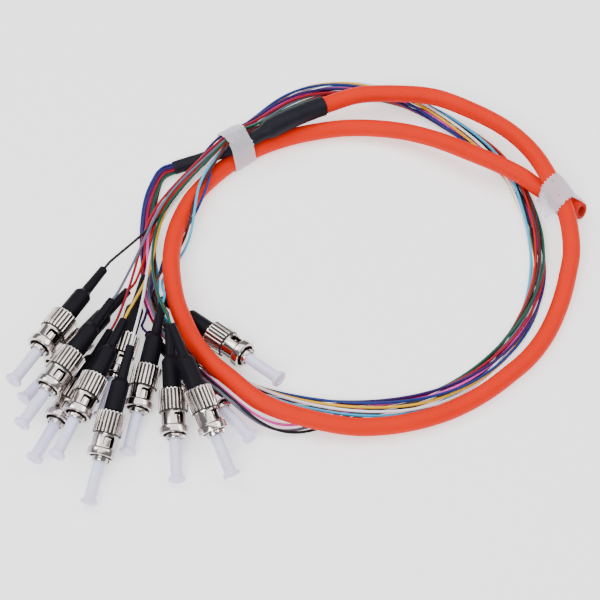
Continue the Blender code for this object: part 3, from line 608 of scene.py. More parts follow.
def swept_mesh(
    name: str,
    line: np.ndarray,
    radii: np.ndarray,
    sides: int,
    dent: Callable[[int, int], np.ndarray] | None = None,
    lip: float = 0.0,
    start_bore: Bore | None = None,
    end_bore: Bore | None = None,
) -> bpy.types.Mesh:
    """A round tube along a line, with its round and along distances as UV in metres.

    Args:
        name: the mesh's name.
        line: points of its centreline.
        radii: its radius at each point.
        sides: facets round it.
        dent: gives metres to add to the radius, for so many rings and sides.
        lip: radius of its edges.
        start_bore: the hollow in its start.
        end_bore: the hollow in its end.

    Returns:
        The mesh.
    """
    if lip:
        line, radii = with_lips(line, radii, lip)
    ahead = unit_steps(line)
    dents = dent(len(line), sides) if dent else np.zeros((len(line), sides))
    run = np.concatenate([[0.0], np.cumsum(np.linalg.norm(np.diff(line, axis=0), axis=1))])
    angles = np.linspace(0, 2 * math.pi, sides, endpoint=False)
    side = np.cross(ahead[0], (0.0, 0.0, 1.0))
    spokes: list[np.ndarray] = []
    for direction in ahead:
        side = side - direction * (side @ direction)
        side /= np.linalg.norm(side)
        up = np.cross(side, direction)
        spokes.append(np.outer(np.cos(angles), side) + np.outer(np.sin(angles), up))
    rings = [line[k] + spokes[k] * (radii[k] + dents[k])[:, None] for k in range(len(line))]
    places = list(run)
    if start_bore:
        covered = [k for k in range(len(line)) if run[k] <= start_bore.depth]
        hollow = [line[k] + spokes[k] * start_bore.radius for k in covered[::-1]]
        rings, places = hollow + rings, [-run[k] for k in covered[::-1]] + places
    if end_bore:
        covered = [k for k in range(len(line)) if run[-1] - run[k] <= end_bore.depth]
        rings += [line[k] + spokes[k] * end_bore.radius for k in covered[::-1]]
        places += [2 * run[-1] - run[k] for k in covered[::-1]]
    round_way = np.abs(angles - math.pi) * float(radii.max())
    uvs = np.stack([np.tile(round_way, len(rings)), np.repeat(places, sides)], axis=1)
    faces: list[list[int]] = []
    for k in range(len(rings) - 1):
        low, high = k * sides, (k + 1) * sides
        for n in range(sides):
            m = (n + 1) % sides
            faces.append([low + n, low + m, high + m, high + n])
    last = (len(rings) - 1) * sides
    faces.append(list(range(sides - 1, -1, -1)))
    faces.append(list(range(last, last + sides)))
    return mesh_of(name, np.concatenate(rings), faces, uvs=uvs)


def placed(
    name: str,
    mesh: bpy.types.Mesh,
    node: str | None = None,
    body: str = ROOT_BODY,
    place: Matrix | None = None,
) -> bpy.types.Object:
    """An object of a mesh that rides its body, in place of a node if it stands for one.

    Args:
        name: the piece's name.
        mesh: its mesh.
        node: the node that it stands for.
        body: the body that it moves with.
        place: where it goes, in the frame.

    Returns:
        The object.
    """
    obj = bpy.data.objects.new(name, mesh)
    bpy.context.scene.collection.objects.link(obj)
    if place is not None:
        obj.matrix_world = place
    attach(obj, body)
    if node:
        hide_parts(node)
    return obj


def wave_noise(rows: int, columns: int, seed: int, lumps: int) -> np.ndarray:
    """Smooth bumps from -1 to 1 over a tube, the same in every run.

    Args:
        rows: places along the tube.
        columns: places round it.
        seed: which pattern.
        lumps: waves that are added up.

    Returns:
        The bumps, one row for each place along.
    """
    chance = np.random.default_rng(seed)
    along, turn = np.linspace(0, 1, rows)[:, None], np.linspace(0, 2 * math.pi, columns, endpoint=False)
    total = np.zeros((rows, columns))
    for _ in range(lumps):
        waves, rounds = chance.uniform(1, lumps), chance.integers(0, 4)
        phase = chance.uniform(0, 2 * math.pi, 2)
        total += np.sin(2 * math.pi * waves * along + phase[0]) * np.cos(rounds * turn + phase[1])
    return total / np.abs(total).max()


# Finishes

# How far a finish's gloss varies either way
GLOSS_SPREAD = 0.2
# How many times as long as they are wide the streaks of a drawn coat are
STREAK_LENGTH = 60


def linear(colour: str, alpha: float = 1.0) -> tuple[float, float, float, float]:
    """An sRGB hex colour in linear light.

    Args:
        colour: such as "#E8502E".
        alpha: its opacity.

    Returns:
        Red, green, blue and alpha.
    """
    levels = [int(colour[i : i + 2], 16) / 255 for i in (1, 3, 5)]
    red, green, blue = (v / 12.92 if v <= 0.04045 else ((v + 0.055) / 1.055) ** 2.4 for v in levels)
    return red, green, blue, alpha


Socket = bpy.types.NodeSocket | float | tuple


def add_node(
    tree: bpy.types.NodeTree, kind: str, settings: dict[str, object], links: dict[str | int, Socket]
) -> bpy.types.Node:
    """Adds a node with its settings and its inputs.

    Args:
        tree: the material's tree.
        kind: the node's Blender name.
        settings: attributes to set on it.
        links: for each input, a socket to link or a value.

    Returns:
        The node.
    """
    node = tree.nodes.new(kind)
    for name, value in settings.items():
        setattr(node, name, value)
    for name, value in links.items():
        if isinstance(value, bpy.types.NodeSocket):
            tree.links.new(value, node.inputs[name])
        else:
            node.inputs[name].default_value = value
    return node


@dataclass(frozen=True)
class Finish:
    """What every finish states.

    Args:
        name: the real material and how its surface was made.
        colour: its colour as sRGB hex.
        shade: its darker variation as sRGB hex.
        roughness: how dull it is.
        grain_mm: size of its fine relief.
        relief_mm: depth of its fine relief.
        patch_mm: size of its colour variation.
        fixed: the shader's inputs that are the same all over, by name.
    """

    name: str
    colour: str
    shade: str
    roughness: float
    grain_mm: float
    relief_mm: float
    patch_mm: float
    fixed: tuple[tuple[str, float], ...] = ()

    def material(self) -> bpy.types.Material:
        """Builds the material: two tones in soft patches, a varied gloss and a fine relief.

        Returns:
            The material.
        """
        material = bpy.data.materials.new(self.name)
        material.use_nodes = True
        tree = material.node_tree
        shader = tree.nodes["Principled BSDF"]
        for name, value in self.fixed:
            shader.inputs[name].default_value = value
        place = add_node(tree, "ShaderNodeTexCoord", {}, {}).outputs["Object"]
        patches = add_node(
            tree, "ShaderNodeTexNoise", {},
            {"Vector": place, "Scale": 1000 / self.patch_mm, "Detail": 3.0},
        ).outputs["Fac"]
        tones = add_node(
            tree, "ShaderNodeMix", {"data_type": "RGBA"},
            {"Factor": patches, 6: linear(self.shade), 7: linear(self.colour)},
        )
        tree.links.new(tones.outputs[2], shader.inputs["Base Color"])
        low, high = self.roughness * (1 - GLOSS_SPREAD), self.roughness * (1 + GLOSS_SPREAD)
        gloss = add_node(
            tree, "ShaderNodeMapRange", {}, {"Value": patches, "To Min": low, "To Max": high}
        )
        tree.links.new(gloss.outputs["Result"], shader.inputs["Roughness"])
        height = self.relief(tree, place)
        bump = add_node(
            tree, "ShaderNodeBump", {},
            {"Strength": 1.0, "Distance": self.relief_mm / 1000, "Height": height},
        )
        tree.links.new(bump.outputs["Normal"], shader.inputs["Normal"])
        return material

    def relief(self, tree: bpy.types.NodeTree, place: bpy.types.NodeSocket) -> bpy.types.NodeSocket:
        """The height of the fine relief.

        Args:
            tree: the material's tree.
            place: where on the piece.

        Returns:
            A socket with the height.
        """
        grain = add_node(
            tree, "ShaderNodeTexNoise", {},
            {"Vector": place, "Scale": 1000 / self.grain_mm, "Detail": 4.0},
        )
        return grain.outputs["Fac"]


@dataclass(frozen=True)
class DrawnFinish(Finish):
    """A finish drawn through a die: its relief runs in long streaks along the cable."""

    def relief(self, tree: bpy.types.NodeTree, place: bpy.types.NodeSocket) -> bpy.types.NodeSocket:
        """Streaks many times as long as they are wide, from the metre UVs.

        Args:
            tree: the material's tree.
            place: not used, because the streaks follow the cable.

        Returns:
            A socket with the height.
        """
        metres = add_node(tree, "ShaderNodeUVMap", {"uv_map": "metres"}, {}).outputs["UV"]
        across = 1000 / self.grain_mm
        stretched = add_node(
            tree, "ShaderNodeMapping", {},
            {"Vector": metres, "Scale": (across, across / STREAK_LENGTH, 1.0)},
        ).outputs["Vector"]
        streaks = add_node(
            tree, "ShaderNodeTexNoise", {}, {"Vector": stretched, "Scale": 1.0, "Detail": 3.0}
        )
        return streaks.outputs["Fac"]


@dataclass(frozen=True)
class TurnedFinish(Finish):
    """A finish of a piece turned on a lathe: its relief is fine rings about the piece's X axis."""

    def relief(self, tree: bpy.types.NodeTree, place: bpy.types.NodeSocket) -> bpy.types.NodeSocket:
        """Rings about two grains apart, as a tool's feed leaves them, broken up by noise.

        Args:
            tree: the material's tree.
            place: where on the piece.

        Returns:
            A socket with the height.
        """
        scale = 1000 / self.grain_mm / (2 * math.pi)
        rings = add_node(
            tree, "ShaderNodeTexWave", {"wave_type": "BANDS", "bands_direction": "X"},
            {"Vector": place, "Scale": scale, "Distortion": 1.5, "Detail": 2.0, "Detail Scale": 2.0},
        )
        return rings.outputs["Fac"]


class Stock(Enum):
    """Every finish but the fibres' coats."""

    # Extruded PVC jacket: an even, soft satin orange, a little redder in wide patches
    JACKET = DrawnFinish(
        "orange_pvc_extruded", "#DA2403", "#CC1E01", 0.5, 0.3, 0.006, 9.0,
        (("IOR", 1.53), ("Specular IOR Level", 0.08)),
    )
    # The jacket's cut inside: the same PVC, torn matt by the cutter, and painted a darker orange as shade in
    # the hollow
    JACKET_CUT_SHADE = Finish(
        "orange_pvc_cut_painted_shade", "#B81A06", "#960F04", 0.7, 0.3, 0.02, 2.0,
        (("IOR", 1.53), ("Specular IOR Level", 0.2)),
    )
    # Polyolefin heat-shrink: almost black, shrunk over ridges that catch a dull light
    SHRINK = Finish(
        "black_polyolefin_shrunk", "#1D1C25", "#15141B", 0.5, 0.8, 0.02, 5.0,
        (("IOR", 1.5), ("Specular IOR Level", 0.1)),
    )
    # Moulded rubber: blue-black and almost matt, with a faint sheen on its round edges
    BOOT = Finish(
        "black_rubber_moulded", "#100F17", "#0B0A10", 0.5, 0.22, 0.006, 3.0,
        (("IOR", 1.52), ("Specular IOR Level", 0.09)),
    )
    # Nickel on turned brass: bright and slightly warm, with rings from the lathe
    NICKEL = TurnedFinish(
        "nickel_plated_brass_turned", "#D8D0CC", "#C4BBB7", 0.15, 0.12, 0.0008, 2.5,
        (("Metallic", 1.0),),
    )
    # The plating between the rolled ribs: painted shade, a dark grey that stands for the grooves seeing
    # mostly each other, and rougher
    NICKEL_GROOVE_SHADE = TurnedFinish(
        "nickel_painted_groove_shade", "#4A4543", "#332F2E", 0.4, 0.12, 0.0012, 1.5,
        (("Metallic", 1.0),),
    )
    # The plating in the bores: rougher, and painted darker as shade inside the nut
    NICKEL_BORE_SHADE = TurnedFinish(
        "nickel_painted_bore_shade", "#8C8380", "#6B6462", 0.34, 0.12, 0.0012, 2.5,
        (("Metallic", 1.0),),
    )
    # Zirconia ferrule: a dense white ceramic, ground and polished
    CERAMIC = Finish("zirconia_ground", "#F3F1EC", "#E9E6E0", 0.14, 0.1, 0.0004, 2.0, (("IOR", 2.1),))
    # Moulded polyethylene caps: milky with a cool tinge, and light bleeds through the thin wall
    CAP = Finish(
        "milky_polyethylene_moulded", "#E6E3FE", "#D9D5F8", 0.34, 0.4, 0.004, 4.0,
        (("IOR", 1.51), ("Subsurface Weight", 0.5), ("Subsurface Scale", 0.0015)),
    )
    # Frosted acetate tape: a whitish, crinkled film in which what it holds shows faintly
    TAPE = Finish(
        "frosted_acetate_tape", "#FDFAFF", "#F2EDFA", 0.3, 1.3, 0.12, 2.5,
        (("IOR", 1.3), ("Transmission Weight", 0.66)),
    )


# How much darker a coat's darker variation is
COAT_SHADE = 0.92


def fibre_coat(berth: Berth) -> DrawnFinish:
    """A fibre's tight coat: coloured nylon drawn over the glass, glossier than the trunk's jacket.

    Args:
        berth: the fibre's connector.

    Returns:
        The finish.
    """
    levels = [int(berth.paint[i : i + 2], 16) for i in (1, 3, 5)]
    shade = "#" + "".join(f"{int(level * COAT_SHADE):02X}" for level in levels)
    return DrawnFinish(
        "nylon_drawn_" + berth.colour, berth.paint, shade, 0.36, 0.12, 0.0015, 6.0,
        (("IOR", 1.53), ("Specular IOR Level", 0.18)),
    )


# The materials built so far, by name
MADE: dict[str, bpy.types.Material] = {}


def made(finish: Finish) -> bpy.types.Material:
    """The finish's material, built the first time that it is asked for."""
    if finish.name not in MADE:
        MADE[finish.name] = finish.material()
    return MADE[finish.name]


def dress(mesh: bpy.types.Mesh, finish: Finish) -> None:
    """Adds a finish to a mesh that may have others already."""
    mesh.materials.append(made(finish))


def finish_inside(mesh: bpy.types.Mesh, finish: Finish, inside: Callable[[Vector], bool]) -> None:
    """Gives the faces in some region a second finish.

    Args:
        mesh: the mesh, which has its first finish.
        finish: the second one.
        inside: says whether a face's middle is in the region.
    """
    dress(mesh, finish)
    for face in mesh.polygons:
        if inside(face.center):
            face.material_index = len(mesh.materials) - 1


# How things lie


@dataclass
class Lay:
    """How the trunk, the sleeve and the fibres lie, worked out as in the part's source.

    Args:
        trunk_spacing: distance between the trunk's points while the fibres settle.
        sleeve_trunk_points: how many of those the sleeve covers.
        sleeve_spacing: distance between the points of the sleeve's neck.
        sleeve_radius: the sleeve's radius over the jacket.
        neck_radius: its neck's radius.
        lane: distance between fibres in the bundle.
        twist: turns of the bundle in a metre.
        loop_side_x: right of this, the fibres run round the loop.
        loop_spacing: distance between a fibre's points there.
        fine_spacing: distance between them elsewhere.
        end_spacing: distance between them near the fibre's ends.
        end_reach: how near is near.
        fine_step: distance between the points of the finished smooth fibres.
        evening_rounds: how often the smooth fibres are settled and evened out.
    """

    trunk_spacing: float = 0.0110
    sleeve_trunk_points: int = 3
    sleeve_spacing: float = 0.0055
    sleeve_radius: float = 0.0035
    neck_radius: float = 0.00235
    lane: float = 0.00115
    twist: float = 6.0
    loop_side_x: float = -0.0050
    loop_spacing: float = 0.0160
    fine_spacing: float = 0.0080
    end_spacing: float = 0.0050
    end_reach: float = 0.0160
    fine_step: float = 0.0030
    evening_rounds: int = 2

    def __post_init__(self) -> None:
        """Lays the trunk and sleeve, settles the fibres as in the part, and again once smoothed."""
        self.trunk_curve = smooth_line(TRUNK_ROUTE)
        self.trunk = spaced_line(self.trunk_curve, lambda place: self.trunk_spacing)
        inside = self.trunk[: self.sleeve_trunk_points]
        neck = smooth_line([self.trunk[0], *NECK_ROUTE])
        neck = spaced_line(neck, lambda place: self.sleeve_spacing)[1:]
        self.sleeve = np.array([*inside[::-1], *neck])
        self.sleeve_radii = [self.sleeve_radius] * len(inside) + [self.neck_radius] * len(neck)
        starts = [self.fibre_line(berth, slot) for berth, slot in zip(BERTHS, self.lanes())]
        rough = self.settled(starts, self.trunk, AS_IN_THE_PART)
        smooth = [spaced_line(smooth_line(line), lambda place: self.fine_step) for line in rough]
        fine_trunk = spaced_line(self.trunk_curve, lambda place: self.fine_step)
        for _ in range(self.evening_rounds):
            smooth = [self.evened(line) for line in self.settled(smooth, fine_trunk, ONCE_SMOOTHED)]
        self.fibres = self.settled(smooth, fine_trunk, LAST_LOOK)

    @staticmethod
    def evened(line: np.ndarray, passes: int = 3, kept: int = 3) -> np.ndarray:
        """Takes the small waves out of a fibre, and leaves its ends alone.

        Args:
            line: its points.
            passes: how often each point moves to the mean of its neighbours.
            kept: how many points at each end stay put.

        Returns:
            Its new points.
        """
        even = np.array(line)
        for _ in range(passes):
            middle = (even[:-2] + 2 * even[1:-1] + even[2:]) / 4
            even[kept:-kept] = middle[kept - 1 : len(middle) - kept + 1]
        return even

    def lanes(self) -> list[tuple[float, float]]:
        """Places of the fibres in a tight round bundle, nearest the middle first.

        Returns:
            (side, up) offsets in metres, one for each fibre.
        """
        row = math.sqrt(3) / 2
        found = []
        for i in range(-4, 5):
            for j in range(-4, 5):
                x, y = i + j / 2 - 0.5, j * row - row / 3
                found.append((round(math.hypot(x, y), 6), math.atan2(y, x), x, y))
        return [(x * self.lane, y * self.lane) for _, _, x, y in sorted(found)[: len(BERTHS)]]

    def in_lane(self, knots: Sequence[Sequence[float]], slot: tuple[float, float]) -> list[np.ndarray]:
        """Moves a route to one fibre's place in the slowly turning bundle.

        Args:
            knots: the bundle's middle.
            slot: the fibre's offset.

        Returns:
            The fibre's own knots.
        """
        middle = np.array(knots)
        moved, run = [], 0.0
        for i, knot in enumerate(middle):
            ahead = middle[min(i + 1, len(middle) - 1)] - middle[max(i - 1, 0)]
            side = np.array([-ahead[1], ahead[0], 0.0])
            side /= np.linalg.norm(side)
            if i:
                run += np.linalg.norm(knot - middle[i - 1])
            turn = 2 * math.pi * self.twist * run
            a = slot[0] * math.cos(turn) - slot[1] * math.sin(turn)
            b = slot[0] * math.sin(turn) + slot[1] * math.cos(turn)
            moved.append(knot + side * a + np.array([0.0, 0.0, b]))
        return moved

    def fibre_line(self, berth: Berth, slot: tuple[float, float]) -> np.ndarray:
        """A fibre's route from the sleeve's mouth to its boot, before the fibres settle.

        Args:
            berth: its connector's place.
            slot: its place in the bundle.

        Returns:
            The route's points.
        """
        mouth = np.array(NECK_ROUTE[-1])
        ahead = mouth - np.array(NECK_ROUTE[-2])
        ahead /= np.linalg.norm(ahead)
        start = [mouth + ahead * CLEARANCE, mouth + ahead * (CLEARANCE + STRAIGHT_AT_END)]
        crossing = BUNDLE_OUTSIDE_TRUNK if berth.outside else BUNDLE_UNDER_TRUNK
        bundle = [*start, *BUNDLE_FIRST_LEFT, *crossing, *BUNDLE_LOOP, *BUNDLE_AT_TAPE]
        knots = self.in_lane(bundle, slot)
        before, end = (
            np.array(berth.axes() @ Vector((-CONNECTOR.boot_end - CLEARANCE - along, 0, 0)))
            for along in (STRAIGHT_AT_END, 0.0)
        )

        def spacing(where: np.ndarray) -> float:
            """How far apart the points are near a place."""
            if min(np.linalg.norm(where - end), np.linalg.norm(where - mouth)) < self.end_reach:
                return self.end_spacing
            return self.loop_spacing if where[0] > self.loop_side_x else self.fine_spacing

        way = smooth_line([*knots, *(np.array(p) for p in berth.own_way), before, end])
        middle = spaced_line(way[CURVE_STEPS : len(way) - CURVE_STEPS], spacing)
        return np.array([knots[0], *middle, end])

    def settled(
        self, lines: Sequence[np.ndarray], trunk: np.ndarray, how: Settling
    ) -> list[np.ndarray]:
        """Settles the fibres among the trunk, the sleeve and the connectors.

        Args:
            lines: the fibres' points.
            trunk: the trunk's points.
            how: the settling's settings.

        Returns:
            The settled points of each fibre.
        """
        last = self.sleeve[-1] - self.sleeve[-2]
        mouth = self.sleeve[-1] - last * self.neck_radius / np.linalg.norm(last)
        obstacles = [
            Obstacle(len(BERTHS), trunk, [TRUNK_RADIUS] * (len(trunk) - 1)),
            Obstacle(len(BERTHS), [*self.sleeve[:-1], mouth], self.sleeve_radii[:-1]),
        ]
        for fibre, berth in enumerate(BERTHS):
            line = [np.array(berth.axes() @ Vector((x, 0, 0))) for x in CONNECTOR.stations()]
            obstacles.append(Obstacle(fibre, line, CONNECTOR.thickness()))
        return Strands(lines, obstacles, how).settle()


# Pieces


def as_points(line: Sequence[np.ndarray]) -> list[Point]:
    """A line as plain points."""
    return [tuple(float(v) for v in point) for point in line]


@dataclass
class Trunk:
    """The jacketed trunk, whose cut end shows its hollow.

    Args:
        radius: the jacket's outer radius.
        bore: radius of the hollow in its cut end.
        bore_depth: how deep that is.
        step: distance between its rings.
        sides: facets round it.
        lip: radius of its slightly rounded cut edge.
        slant: how far from square the end was cut, in degrees.
        slant_depths: how many bore depths back the slant has faded out.
        cut_faces: which way the slanting cut looks.
        path_step: distance between the points of a path along the trunk, which is worked out and not used
            further.
    """

    radius: float = TRUNK_RADIUS
    bore: float = 0.0018
    bore_depth: float = 0.0060
    step: float = 0.0018
    sides: int = 32
    lip: float = 0.00025
    slant: float = 24.0
    slant_depths: float = 2.2
    cut_faces: Point = (0.0, -0.5, 1.0)
    path_step: float = 0.004

    def build(self, lay: Lay) -> bpy.types.Object:
        """Args:
            lay: how things lie.

        Returns:
            The jacket.
        """
        line = spaced_line(lay.trunk_curve, lambda place: self.step)
        mesh = swept_mesh(
            "trunk_jacket", line - LAYOUT_ORIGIN, np.full(len(line), self.radius), self.sides,
            lip=self.lip, end_bore=Bore(self.bore, self.bore_depth),
        )
        dress(mesh, Stock.JACKET.value)
        end, ahead = Vector(line[-1] - LAYOUT_ORIGIN), Vector(unit_steps(line)[-1])
        self.lean_the_cut(mesh, end, ahead)

        def in_painted_cut_shade(middle: Vector) -> bool:
            """Whether a face is in the cut end, in from its rounded edge, where a darker orange is painted as
            shade.
            """
            back = (middle - end).dot(ahead)
            off = (middle - end - ahead * back).length
            return abs(back) < 1.5 * self.bore_depth and off < self.radius - 1.2 * self.lip

        # The cut end and its hollow get a darker orange: painted shade
        finish_inside(mesh, Stock.JACKET_CUT_SHADE.value, in_painted_cut_shade)
        jacket = placed("trunk_jacket", mesh, "trunk_cable")
        path = spaced_line(lay.trunk_curve, lambda place: self.path_step) - LAYOUT_ORIGIN
        as_points(lay.sleeve[:1] - LAYOUT_ORIGIN)[0]
        as_points(path)
        LOG.info("trunk: %.3f m long, %d rings", length_of(line), len(line))
        return jacket

    def lean_the_cut(self, mesh: bpy.types.Mesh, end: Vector, ahead: Vector) -> None:
        """Leans the square end over, as a slanting cut leaves it.

        Args:
            mesh: the jacket.
            end: the middle of its cut end.
            ahead: the way that it points there.
        """
        open_way = Vector(self.cut_faces)
        open_way = (open_way - ahead * open_way.dot(ahead)).normalized()
        reach = self.slant_depths * self.bore_depth
        for vertex in mesh.vertices:
            back = (end - vertex.co).dot(ahead)
            off = (vertex.co - end) + ahead * back
            if off.length < 1.1 * self.radius and back < reach:
                share = max(0.0, 1.0 - max(0.0, back) / reach)
                lean = off.dot(open_way) + self.radius
                vertex.co -= ahead * lean * math.tan(math.radians(self.slant)) * share


@dataclass
class Sleeve:
    """The heat-shrink sleeve: wide over the jacket's end, a neck over the fibres, an open mouth.

    Args:
        step: distance between its rings.
        sides: facets round it.
        mouth_bore: radius inside its mouth.
        mouth_depth: how deep the mouth is open.
        fit: gap between it and the jacket.
        shrink_length: length of the slope from the wide stretch to the neck.
        shrink_overlap: how far before the jacket's end that slope starts.
        wrinkle: height of the ridges that the shrinking left.
        lip: radius of its edges.
    """

    step: float = 0.0007
    sides: int = 40
    mouth_bore: float = 0.00205
    mouth_depth: float = 0.0045
    fit: float = 0.00006
    shrink_length: float = 0.0042
    shrink_overlap: float = 0.0004
    wrinkle: float = 0.00006
    lip: float = 0.00012

    def build(self, lay: Lay) -> bpy.types.Object:
        """Makes the sleeve.

        Args:
            lay: how things lie.

        Returns:
            The sleeve.
        """
        wide = lay.trunk_curve[: len(lay.trunk_curve) // 5]
        run = np.concatenate([[0.0], np.cumsum(np.linalg.norm(np.diff(wide, axis=0), axis=1))])
        covered = (lay.sleeve_trunk_points - 1) * lay.trunk_spacing * self.spacing_share(lay)
        over = wide[run <= covered][::-1]
        neck = smooth_line([lay.trunk[0], *NECK_ROUTE])[1:]
        curve = np.concatenate([lay.sleeve[:1], over, neck])
        line = spaced_line(curve, lambda place: self.step)
        run = np.concatenate([[0.0], np.cumsum(np.linalg.norm(np.diff(line, axis=0), axis=1))])
        jacket_end = length_of(np.concatenate([lay.sleeve[:1], over]))
        share = np.clip((run - jacket_end + self.shrink_overlap) / self.shrink_length, 0.0, 1.0)
        share = share * share * (3 - 2 * share)
        radii = lay.sleeve_radius + (lay.neck_radius - lay.sleeve_radius) * share

        def ridges(rings: int, sides: int) -> np.ndarray:
            """The ridges that the shrinking left, never proud of the plain radius."""
            return (wave_noise(rings, sides, 5, 24) - 1.0) * self.wrinkle

        mesh = swept_mesh(
            "breakout_sleeve", line - LAYOUT_ORIGIN, radii, self.sides, dent=ridges, lip=self.lip,
            start_bore=Bore(TRUNK_RADIUS + self.fit, jacket_end + CLEARANCE),
            end_bore=Bore(self.mouth_bore, self.mouth_depth),
        )
        dress(mesh, Stock.SHRINK.value)
        sleeve = placed("breakout_sleeve", mesh, "heat_shrink_sleeve")
        LOG.info("sleeve: %.1f mm long", 1000 * run[-1])
        return sleeve

    def spacing_share(self, lay: Lay) -> float:
        """How the trunk's true point spacing compares with the one asked for."""
        return float(np.linalg.norm(lay.trunk[1] - lay.trunk[0])) / lay.trunk_spacing


@dataclass
class Band:
    """A band of frosted tape drawn tight round the strands that run through it.

    Args:
        name: its node's name.
        middle: its middle.
        heading: which way the strands run through it, in degrees.
        width: its width along them.
        reach: how far to the side a strand still runs through it.
        serration: depth of the teeth that the cutter left on its edges.
        tooth: distance between those teeth.
        crease: height of its creases.
        seed: which creases.
        thickness: its thickness, several turns together.
        flap: how far its free end stands out to the side.
        flap_droop: how far the free end hangs down.
        flap_root: how far inside the band the free end starts.
        flap_rise: how far over the band's side it starts.
        flap_taper: how much narrower its edge is, as a share of the width.
        flap_rows: its points across the width.
        flap_columns: its points from root to edge.
        sides: facets round it.
        rows: rings across its width.
        slack: its least distance from what it holds.
        sample_step: how finely the held lines are looked at, in steps between their points.
        support_reach: how far along the strands hold a ring out, as a share of the width.
        floor_gap: its least height over the floor.
    """

    name: str
    middle: Point
    heading: float
    width: float = 0.0080
    reach: float = 0.0120
    serration: float = 0.0
    tooth: float = 0.0011
    crease: float = 0.00022
    seed: int = 1
    thickness: float = 0.00030
    flap: float = 0.0
    flap_droop: float = 0.0020
    flap_root: float = 0.0005
    flap_rise: float = 0.0006
    flap_taper: float = 0.28
    flap_rows: int = 46
    flap_columns: int = 7
    sides: int = 144
    rows: int = 14
    slack: float = 0.00012
    sample_step: float = 0.2
    support_reach: float = 0.35
    floor_gap: float = 0.00002

    def build(self, held: Sequence[tuple[np.ndarray, np.ndarray]]) -> bpy.types.Object:
        """Makes the band round what it holds.

        Args:
            held: the strands' lines and their radii at each point.

        Returns:
            The band.
        """
        angle = math.radians(self.heading)
        ahead = np.array([math.cos(angle), math.sin(angle), 0.0])
        side = np.array([-ahead[1], ahead[0], 0.0])
        inside = self.held_inside(held, ahead, side)
        angles = np.linspace(0, 2 * math.pi, self.sides, endpoint=False)
        creases = wave_noise(self.rows, self.sides, self.seed, 9) * self.crease
        stations = np.linspace(-0.5, 0.5, self.rows) * self.width
        skins: list[list[np.ndarray]] = [[], []]
        roots: list[np.ndarray] = []
        for row, station in enumerate(stations):
            near = inside[np.abs(inside[:, 0] - station) < self.width * self.support_reach]
            support = np.array(
                [max(near[:, 1] * math.cos(a) + near[:, 2] * math.sin(a) + near[:, 3]) for a in angles]
            )
            outline = hull_points(support + self.slack, angles)
            edge = 1.0 if row in (0, self.rows - 1) else 0.0
            perimeter = np.concatenate([[0], np.cumsum(np.linalg.norm(np.diff(outline, axis=0), axis=1))])
            along = station + edge * np.sign(station) * self.serration * self.teeth(perimeter)
            roots.append(outline[np.argmin(outline[:, 0])])
            outward = np.stack([np.cos(angles), np.sin(angles)], axis=1)
            for skin, stand_off in zip(skins, (0.0, self.thickness)):
                flat = outline + outward * (stand_off + creases[row] + self.crease)[:, None]
                flat[:, 1] = np.maximum(flat[:, 1], self.floor_gap - self.middle[2])
                skin.append(
                    np.array(self.middle) + np.outer(along, ahead) + np.outer(flat[:, 0], side)
                    + np.outer(flat[:, 1], (0.0, 0.0, 1.0))
                )
        rings = [*skins[1], *skins[0][::-1]]
        verts = np.concatenate(rings) - LAYOUT_ORIGIN
        flap_verts, flap_faces = self.free_end(np.array(roots), stations, ahead, side)
        faces = []
        for k in range(len(rings)):
            low, high = k * self.sides, (k + 1) % len(rings) * self.sides
            for n in range(self.sides):
                m = (n + 1) % self.sides
                faces.append([low + n, low + m, high + m, high + n])
        if self.flap:
            faces += [[k + len(verts) for k in face] for face in flap_faces]
            verts = np.concatenate([verts, flap_verts - LAYOUT_ORIGIN])
        mesh = mesh_of("film_" + self.name, verts, faces, crease=50.0)
        dress(mesh, Stock.TAPE.value)
        band = placed("film_" + self.name, mesh, self.name)
        LOG.info("band %s: %d strands' samples inside", self.name, len(inside))
        return band

    def held_inside(
        self, held: Sequence[tuple[np.ndarray, np.ndarray]], ahead: np.ndarray, side: np.ndarray
    ) -> np.ndarray:
        """What of the held strands runs through the band.

        Args:
            held: the strands' lines and their radii at each point.
            ahead: the way along the strands.
            side: the way across them.

        Returns:
            How far along, to the side and up each sample is, and its radius.
        """
        within: list[np.ndarray] = []
        for line, radii in held:
            each = np.arange(len(line))
            shares = np.arange(0, len(line) - 1, self.sample_step)
            places = np.stack([np.interp(shares, each, line[:, i]) for i in range(3)], axis=1)
            places -= np.array(self.middle)
            near = np.abs(places @ ahead) < self.width / 2
            near &= np.abs(places @ side) < self.reach
            radius = np.interp(shares, each, radii)
            within.extend(np.stack([places @ ahead, places @ side, places[:, 2], radius], 1)[near])
        return np.array(within)

    def teeth(self, along_edge: np.ndarray) -> np.ndarray:
        """The saw-cut edge's teeth, from -0.5 to 0.5, at distances along it."""
        return np.abs((along_edge / self.tooth) % 1.0 - 0.5) * 2 - 0.5

